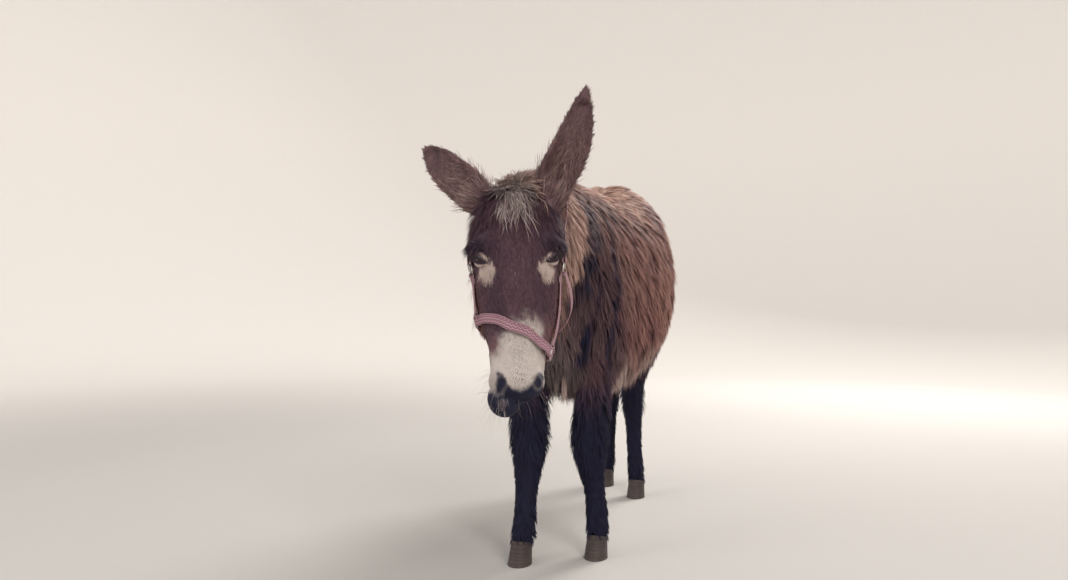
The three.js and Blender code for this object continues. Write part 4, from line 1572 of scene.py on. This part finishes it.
def loop_back(path, metal, span=0.020):
    """The end of a strap taken over the bar of a ring, round it and back underneath."""
    middles, across, out = path
    centre = metal["middle"]
    towards = unit(flatten((centre - middles[-1])[None], out[-1:])[0])
    face = unit(out[-1] + metal["out"])
    side = unit(np.cross(towards, face)) * np.sign(np.cross(towards, face) @ across[-1])
    bar = centre - towards * RING_HALF
    radius = RING_BAR + WEB_THICK / 2 + 0.0003
    run = np.linalg.norm(bar - middles[-1])
    bends = np.linspace(math.pi / 2, -math.pi / 2, 9)
    wrap = [bar + towards * radius * math.cos(t) + face * radius * math.sin(t) for t in bends]
    wrap_out = [towards * math.cos(t) + face * math.sin(t) for t in bends]
    under = []
    for t in np.linspace(0.25, 1, 5):
        spot = bar - towards * (run + span) * t
        low = -radius * (1 - t) - (WEB_THICK + 0.0004) * t
        if np.linalg.norm(spot - bar) > run:
            k = np.argmin(np.linalg.norm(middles - spot, axis=1))
            spot = spot - out[k] * ((spot - middles[k]) @ out[k])
        else:
            spot = spot + face * ((middles[-1] - bar) @ face) * t
        under.append((spot + face * low, -face))
    points = np.concatenate([middles, wrap, [u[0] for u in under]])
    ways = np.concatenate([across, np.repeat(side[None], len(wrap) + len(under), 0)])
    outs = np.concatenate([out, wrap_out, [u[1] for u in under]])
    return points, ways, outs


def webbing_mesh(name, path):
    """A strap with rounded edges, with a weave map across and along it."""
    middles, across, out = path
    profile = [(-1.0, 0.0)] + [(a, 1.0) for a in np.linspace(-0.94, 0.94, 7)]
    profile += [(1.0, 0.0)] + [(a, -1.0) for a in np.linspace(0.94, -0.94, 7)]
    profile = np.array(profile)
    rings = (
        middles[:, None] + across[:, None] * (profile[None, :, :1] * WEB_WIDTH / 2)
        + out[:, None] * (profile[None, :, 1:] * WEB_THICK / 2))
    piece = rings_mesh(name, rings)
    u = np.tile((profile[:, 0] + 1) / 2, len(middles))
    v = np.repeat(distances(middles) / WEB_WIDTH, len(profile))
    lay_flat(piece.data, "weave", np.stack([np.append(u, [0.5, 0.5]), np.append(v, [0, v[-1]])], 1))
    return outward(piece)


def webbing_material():
    """Faded flat webbing: rows of pale zigzag over a ribbed weave, with edges painted pale as a highlight."""
    chosen = settings("halter")
    shader = Shader("webbing", roughness=0.85, specular=0.12)
    across, along, _ = shader.woven_uv()
    half = (across - 0.5).math("ABSOLUTE") * 2.0
    swing = ((along * 2.2).math("FRACT") - 0.5).math("ABSOLUTE") * 0.34
    row = ((across - 0.15 - swing) * 3.2).math("FRACT")
    line = ((row - 0.5).math("ABSOLUTE") * 2.0).rise(0.45, 0.75)
    yarn = ((along * 150.0).math("SINE") * 0.5 + 0.5) * ((across * 90.0).math("SINE") * 0.5 + 0.5)
    worn = shader.noise(shader.place(), 45.0, 5.0)
    fuzz = shader.noise(shader.place(), 900.0, 2.0)
    # Painted highlight: both edges of every strap are drawn pale, as the lit edge of the webbing.
    edge = half.rise(0.84, 0.9)
    pale = (line * (1.0 - half.rise(0.62, 0.7)) + edge * 0.8) * (worn * 0.7 + 0.45)
    tint = shader.blend(pale, chosen.web, chosen.fleck)
    dirt = worn.rise(0.5, 0.75) * 0.45
    tint = shader.blend(dirt, tint, (0.10, 0.06, 0.065))
    shader.feed("Base Color", shader.scaled(tint, yarn * 0.35 + fuzz * 0.25 + 0.72))
    shader.feed("Roughness", fuzz * 0.2 + 0.72)
    shader.bump(line * 0.8 + yarn * 0.5 + fuzz * 0.3 - edge * 0.4, 0.7, 0.0011)
    return shader.material


def thread_material():
    shader = Shader("thread", specular=0.15)
    ply = shader.noise(shader.place(), 1500.0, 2.0)
    thread = settings("halter").thread
    shader.feed("Base Color", shader.blend(ply, [0.6 * v for v in thread], [1.1 * v for v in thread]))
    shader.feed("Roughness", ply * 0.3 + 0.6)
    return shader.material


def metal_places():
    """Middle and way out of each ring and buckle."""
    places = {}
    for name in ("ring_left", "ring_right", "buckle_left", "buckle_right"):
        points, _, _ = node_mesh(name)
        centre = points.mean(0)
        away = np.linalg.svd(points - centre)[2][2]
        if away @ (centre - HEAD_CORE) < 0:
            away = -away
        places[name] = {"middle": centre, "out": away}
    return places


def settled(node, path):
    """Sinks the crownpiece into the coat behind the ears and loosens the throat strap on the left."""
    middles, across, out = path
    side, _, down = on_head(middles).T
    if node == "crownpiece":
        middles = middles - 0.012 * UPRIGHT * step(0.14, 0.02, np.abs(side))[:, None]
        middles = middles - 0.011 * out * step(0.15, 0.07, down)[:, None]
    if node == "throat_strap":
        loose = 0.013 * step(0.04, 0.1, side) * np.exp(-(((down - 0.27) / 0.07) ** 2))
        middles = middles + SIDE * loose[:, None]
    return middles, across, out


def stitch_rows(path):
    """Two rows of stitches near the last end of a strap: the place, way along and way out of each."""
    middles, across, out = path
    from_end = np.linalg.norm(middles - middles[-1], axis=1)
    rows = []
    for back in STITCHES:
        at = np.abs(from_end - back).argmin()
        for place in STITCH_ROWS:
            spot = middles[at] + across[at] * WEB_WIDTH * place + out[at] * WEB_THICK * 0.5
            rows.append((spot, unit(middles[at] - middles[at - 1]), out[at]))
    return rows


def build_straps():
    """All the webbing, each strap but the throat strap looped round its rings and stitched."""
    metal = metal_places()
    material = webbing_material()
    stitches = []
    for node, (first, last) in STRAPS.items():
        path = even(strap_path(node), WEB_STEP)
        from_first = np.linalg.norm(path[0] - metal[first]["middle"], axis=1)
        if from_first[0] > from_first[-1]:
            path = [item[::-1] for item in path]
        path = settled(node, path)
        for name in (first, last):
            path = [item[::-1] for item in path]
            if node != "throat_strap":
                stitches += stitch_rows(path)
                path = loop_back(path, metal[name])
        finished(webbing_mesh(node + "_web", path), material, "webbing", node)
    spots, lines, ups = map(np.array, zip(*stitches))
    strands(
        "stitches", spots, (lines, ups), np.full(len(spots), 0.0032), thread_material(), "webbing",
        start=(-0.45, 0.0, -0.05), middle=(0.0, 0.0, 0.36), end=(0.45, 0.0, -0.05), thickness=0.13,
        taper=0.0, segments=5)


def steel_material():
    shader = Shader("steel", metallic=1.0)
    haze = shader.noise(shader.place(), 160.0, 5.0)
    scratch = shader.noise(shader.laid((1800, 1800, 120)), 1.0)
    rust = haze.rise(0.58, 0.72)
    tint = shader.blend(rust * 0.7, settings("halter").steel, (0.16, 0.075, 0.04))
    shader.feed("Base Color", shader.scaled(tint, scratch * 0.3 + 0.8))
    shader.feed("Roughness", haze * 0.25 + scratch * 0.2 + 0.15)
    shader.feed("Metallic", 1.0 - rust * 0.6)
    shader.bump(scratch + haze, 0.2, 0.0004)
    return shader.material


def hoop(centre, out, up):
    """Points and faces of a square frame of round bar with rounded corners, lying flat across `out`."""
    power = 3.2  # 2 would be round, and a large number square
    side = unit(np.cross(up, out))
    cos, sin = np.cos(full_turn(64)), np.sin(full_turn(64))
    half = RING_HALF / (np.abs(cos) ** power + np.abs(sin) ** power) ** (1 / power)
    line = centre + side * (half * cos)[:, None] + up * (half * sin)[:, None]
    way = unit(np.roll(line, -1, 0) - np.roll(line, 1, 0))
    away = np.cross(way, out)
    ring = full_turn(BAR_SIDES)[None, :, None]
    rings = line[:, None] + RING_BAR * (np.cos(ring) * away[:, None] + np.sin(ring) * out)
    return rings.reshape(-1, 3), [ring_quads(len(line), BAR_SIDES, closed=True)]


def rod(start, end, bar):
    """Points and faces of a straight round bar with domed ends."""
    way = unit(end - start)
    side = unit(np.cross(way, way[[1, 2, 0]]))
    turn = full_turn(BAR_SIDES)[:, None]
    ring = np.cos(turn) * side + np.sin(turn) * np.cross(way, side)
    stops = ((-0.9, 0.1), (-0.6, 0.75), (0.0, 1.0))
    rings = [start + way * bar * a + ring * bar * r for a, r in stops]
    rings += [end - way * bar * a + ring * bar * r for a, r in reversed(stops)]
    around = np.arange(BAR_SIDES)
    ends = np.stack([around[::-1], (len(rings) - 1) * BAR_SIDES + around])
    return np.concatenate(rings), [ring_quads(len(rings), BAR_SIDES), ends]


def build_metal():
    """Rounded square rings at the noseband and buckles with a bar and a tongue above them."""
    material = steel_material()
    for name, place in metal_places().items():
        centre, out = place["middle"], place["out"]
        up = unit(flatten(-DOWN[None], out[None])[0])
        parts = [hoop(centre, out, up)]
        if name.startswith("buckle"):
            half_bar = unit(np.cross(up, out)) * (RING_HALF - 0.001)
            parts.append(rod(centre - half_bar, centre + half_bar, 0.0017))
            foot, tip = -up * 0.001, up * (RING_HALF + 0.003)
            parts.append(rod(centre + out * 0.0028 + foot, centre + out * 0.0030 + tip, 0.0014))
        points, faces, start = [], [], 0
        for spots, groups in parts:
            points.append(spots)
            faces += [group + start for group in groups]
            start += len(spots)
        piece = new_mesh(name + "_steel", np.concatenate(points), faces)
        finished(outward(piece), material, "steel", name)


# ------------------------------------------------------------------ stage

CAMERA_BEARING = math.radians(14.49)  # from straight ahead of the donkey to its left
CAMERA_TURN = math.radians(17.5)
CAMERA_TILT = math.radians(0.47)
WORLD_STRENGTH = 0.55


def floor_material():
    stage = settings("stage")
    shader = Shader("floor", specular=0.0)
    grain = shader.noise(shader.place(), 30.0, 5.0)
    x, y, _ = shader.apart(shader.place())
    far = ((x * x + y * y) ** 0.5).rise(2.6, 7.6)
    paper = shader.blend(far, [0.6 * v for v in stage.floor], stage.floor)
    shader.feed("Emission Color", shader.blend(far, (0, 0, 0), stage.floor))
    shader.feed("Emission Strength", 0.13)
    shader.feed("Base Color", shader.scaled(paper, grain * 0.03 + 0.985))
    shader.feed("Roughness", grain * 0.1 + 0.8)
    return shader.material


def backdrop():
    """A floor that sweeps up behind the donkey into a wall, all one pale surface."""
    reach, bend, height, sides = 9.0, 3.0, 9.0, 96
    profile = [(0.5, 0.0), (reach - bend, 0.0)]
    for t in np.linspace(0, math.pi / 2, 25)[1:]:
        profile.append((reach - bend + bend * math.sin(t), bend - bend * math.cos(t)))
    profile.append((reach, height))
    ring = np.stack([np.cos(full_turn(sides)), np.sin(full_turn(sides))], 1)
    points = np.concatenate([np.column_stack([ring * r, np.full(sides, z)]) for r, z in profile])
    quads = ring_quads(len(profile), sides)[:, ::-1]
    made = new_mesh("floor", points, [quads, np.arange(sides)[None, :]])
    made.data.materials.append(floor_material())


def lamp(name, place, aim, size, power, tint):
    """A round soft lamp, `size` across."""
    light = bpy.data.lights.new(name, "AREA")
    light.shape = "DISK"
    light.size = size
    light.energy = power
    light.color = tint
    made = added(name, light)
    made.location = place
    made.rotation_euler = (Vector(aim) - Vector(place)).to_track_quat("-Z", "Y").to_euler()


def set_stage():
    """Pale sweep, soft lamps and the camera."""
    stage = settings("stage")
    backdrop()
    lamp("key", (3.2, -4.2, 3.6), (0.1, -0.3, 0.8), size=2.4, power=160.0, tint=(1.0, 0.985, 0.96))
    lamp("fill", (-4.2, -3.4, 2.2), (0.0, -0.2, 0.7), size=3.2, power=80.0, tint=(0.96, 0.98, 1.0))
    lamp("back", (1.6, 4.4, 4.4), (0.0, 0.2, 1.0), size=2.4, power=350.0, tint=(1.0, 0.97, 0.93))
    world = bpy.data.worlds.new("studio")
    world.use_nodes = True
    background = world.node_tree.nodes["Background"].inputs
    background["Color"].default_value = (*stage.floor, 1.0)
    background["Strength"].default_value = WORLD_STRENGTH
    bpy.context.scene.world = world

    camera = bpy.data.cameras.new("camera")
    camera.lens = stage.lens
    camera.sensor_width = 36.0
    made = added("camera", camera)
    made.location = (
        stage.distance * math.sin(CAMERA_BEARING), -stage.distance * math.cos(CAMERA_BEARING), stage.height)
    made.rotation_euler = (math.pi / 2 + CAMERA_TILT, 0.0, CAMERA_TURN)
    bpy.context.scene.camera = made
    bpy.context.scene.view_settings.view_transform = "Standard"


# ------------------------------------------------------------------ operators


class DONKEY_OT_skin(bpy.types.Operator):
    """Make the skin that covers all the flesh"""

    bl_idname = "donkey.skin"
    bl_label = "Skin"

    def execute(self, context):
        build_skin()
        return {"FINISHED"}


class DONKEY_OT_body(bpy.types.Operator):
    """Grow the shaggy coat of the trunk and neck"""

    bl_idname = "donkey.body"
    bl_label = "Coat of the body"

    def execute(self, context):
        grow_body(Surface())
        return {"FINISHED"}


class DONKEY_OT_legs(bpy.types.Operator):
    """Grow the coat of the legs"""

    bl_idname = "donkey.legs"
    bl_label = "Coat of the legs"

    def execute(self, context):
        grow_legs(Surface())
        return {"FINISHED"}


class DONKEY_OT_face(bpy.types.Operator):
    """Grow the short fur of the head"""

    bl_idname = "donkey.face"
    bl_label = "Coat of the head"

    def execute(self, context):
        grow_head(Surface())
        return {"FINISHED"}


class DONKEY_OT_ears(bpy.types.Operator):
    """Grow the fur of the ears"""

    bl_idname = "donkey.ears"
    bl_label = "Coat of the ears"

    def execute(self, context):
        grow_ears(Surface())
        return {"FINISHED"}


class DONKEY_OT_long_hair(bpy.types.Operator):
    """Grow the mane, forelock, jaw locks, chest tuft and tail"""

    bl_idname = "donkey.long_hair"
    bl_label = "Long hair"

    def execute(self, context):
        surface = Surface()
        for grow_piece in (grow_mane, grow_forelock, grow_jaw_locks, grow_chest_tuft, grow_tail):
            grow_piece(surface)
        return {"FINISHED"}


class DONKEY_OT_eyes(bpy.types.Operator):
    """Make both eyeballs"""

    bl_idname = "donkey.eyes"
    bl_label = "Eyes"

    def execute(self, context):
        build_eyes()
        return {"FINISHED"}


class DONKEY_OT_bristles(bpy.types.Operator):
    """Set the whiskers and the lashes"""

    bl_idname = "donkey.bristles"
    bl_label = "Whiskers and lashes"

    def execute(self, context):
        grow_whiskers(Surface())
        grow_lashes()
        return {"FINISHED"}


class DONKEY_OT_hooves(bpy.types.Operator):
    """Make the four hooves"""

    bl_idname = "donkey.hooves"
    bl_label = "Hooves"

    def execute(self, context):
        build_hooves()
        return {"FINISHED"}


class DONKEY_OT_straps(bpy.types.Operator):
    """Make the webbing of the halter and its stitches"""

    bl_idname = "donkey.straps"
    bl_label = "Halter webbing"

    def execute(self, context):
        build_straps()
        return {"FINISHED"}


class DONKEY_OT_metal(bpy.types.Operator):
    """Make the rings and buckles of the halter"""

    bl_idname = "donkey.metal"
    bl_label = "Halter rings and buckles"

    def execute(self, context):
        build_metal()
        return {"FINISHED"}


class DONKEY_OT_stage(bpy.types.Operator):
    """Set up the floor, the lamps and the camera"""

    bl_idname = "donkey.stage"
    bl_label = "Stage"

    def execute(self, context):
        set_stage()
        return {"FINISHED"}


OPERATORS = (
    DONKEY_OT_skin,
    DONKEY_OT_body,
    DONKEY_OT_legs,
    DONKEY_OT_face,
    DONKEY_OT_ears,
    DONKEY_OT_long_hair,
    DONKEY_OT_eyes,
    DONKEY_OT_bristles,
    DONKEY_OT_hooves,
    DONKEY_OT_straps,
    DONKEY_OT_metal,
    DONKEY_OT_stage,
)


class DONKEY_PT_donkey(bpy.types.Panel):
    bl_label = "Donkey"
    bl_space_type = "VIEW_3D"
    bl_region_type = "UI"
    bl_category = "Donkey"

    def draw(self, context):
        for operator in OPERATORS:
            self.layout.operator(operator.bl_idname)
        for group, kind in GROUPS.items():
            box = self.layout.box()
            box.label(text=group.removeprefix("donkey_").capitalize())
            for name in kind.__annotations__:
                box.prop(getattr(context.scene, group), name)


CLASSES = (*GROUPS.values(), *OPERATORS, DONKEY_PT_donkey)


def register():
    for made in CLASSES:
        bpy.utils.register_class(made)
    for group, kind in GROUPS.items():
        setattr(bpy.types.Scene, group, PointerProperty(type=kind))


def unregister():
    for group in GROUPS:
        delattr(bpy.types.Scene, group)
    for made in reversed(CLASSES):
        bpy.utils.unregister_class(made)


def main():
    register()
    for operator in OPERATORS:
        family, name = operator.bl_idname.split(".")
        getattr(getattr(bpy.ops, family), name)()


if __name__ == "__main__":
    main()
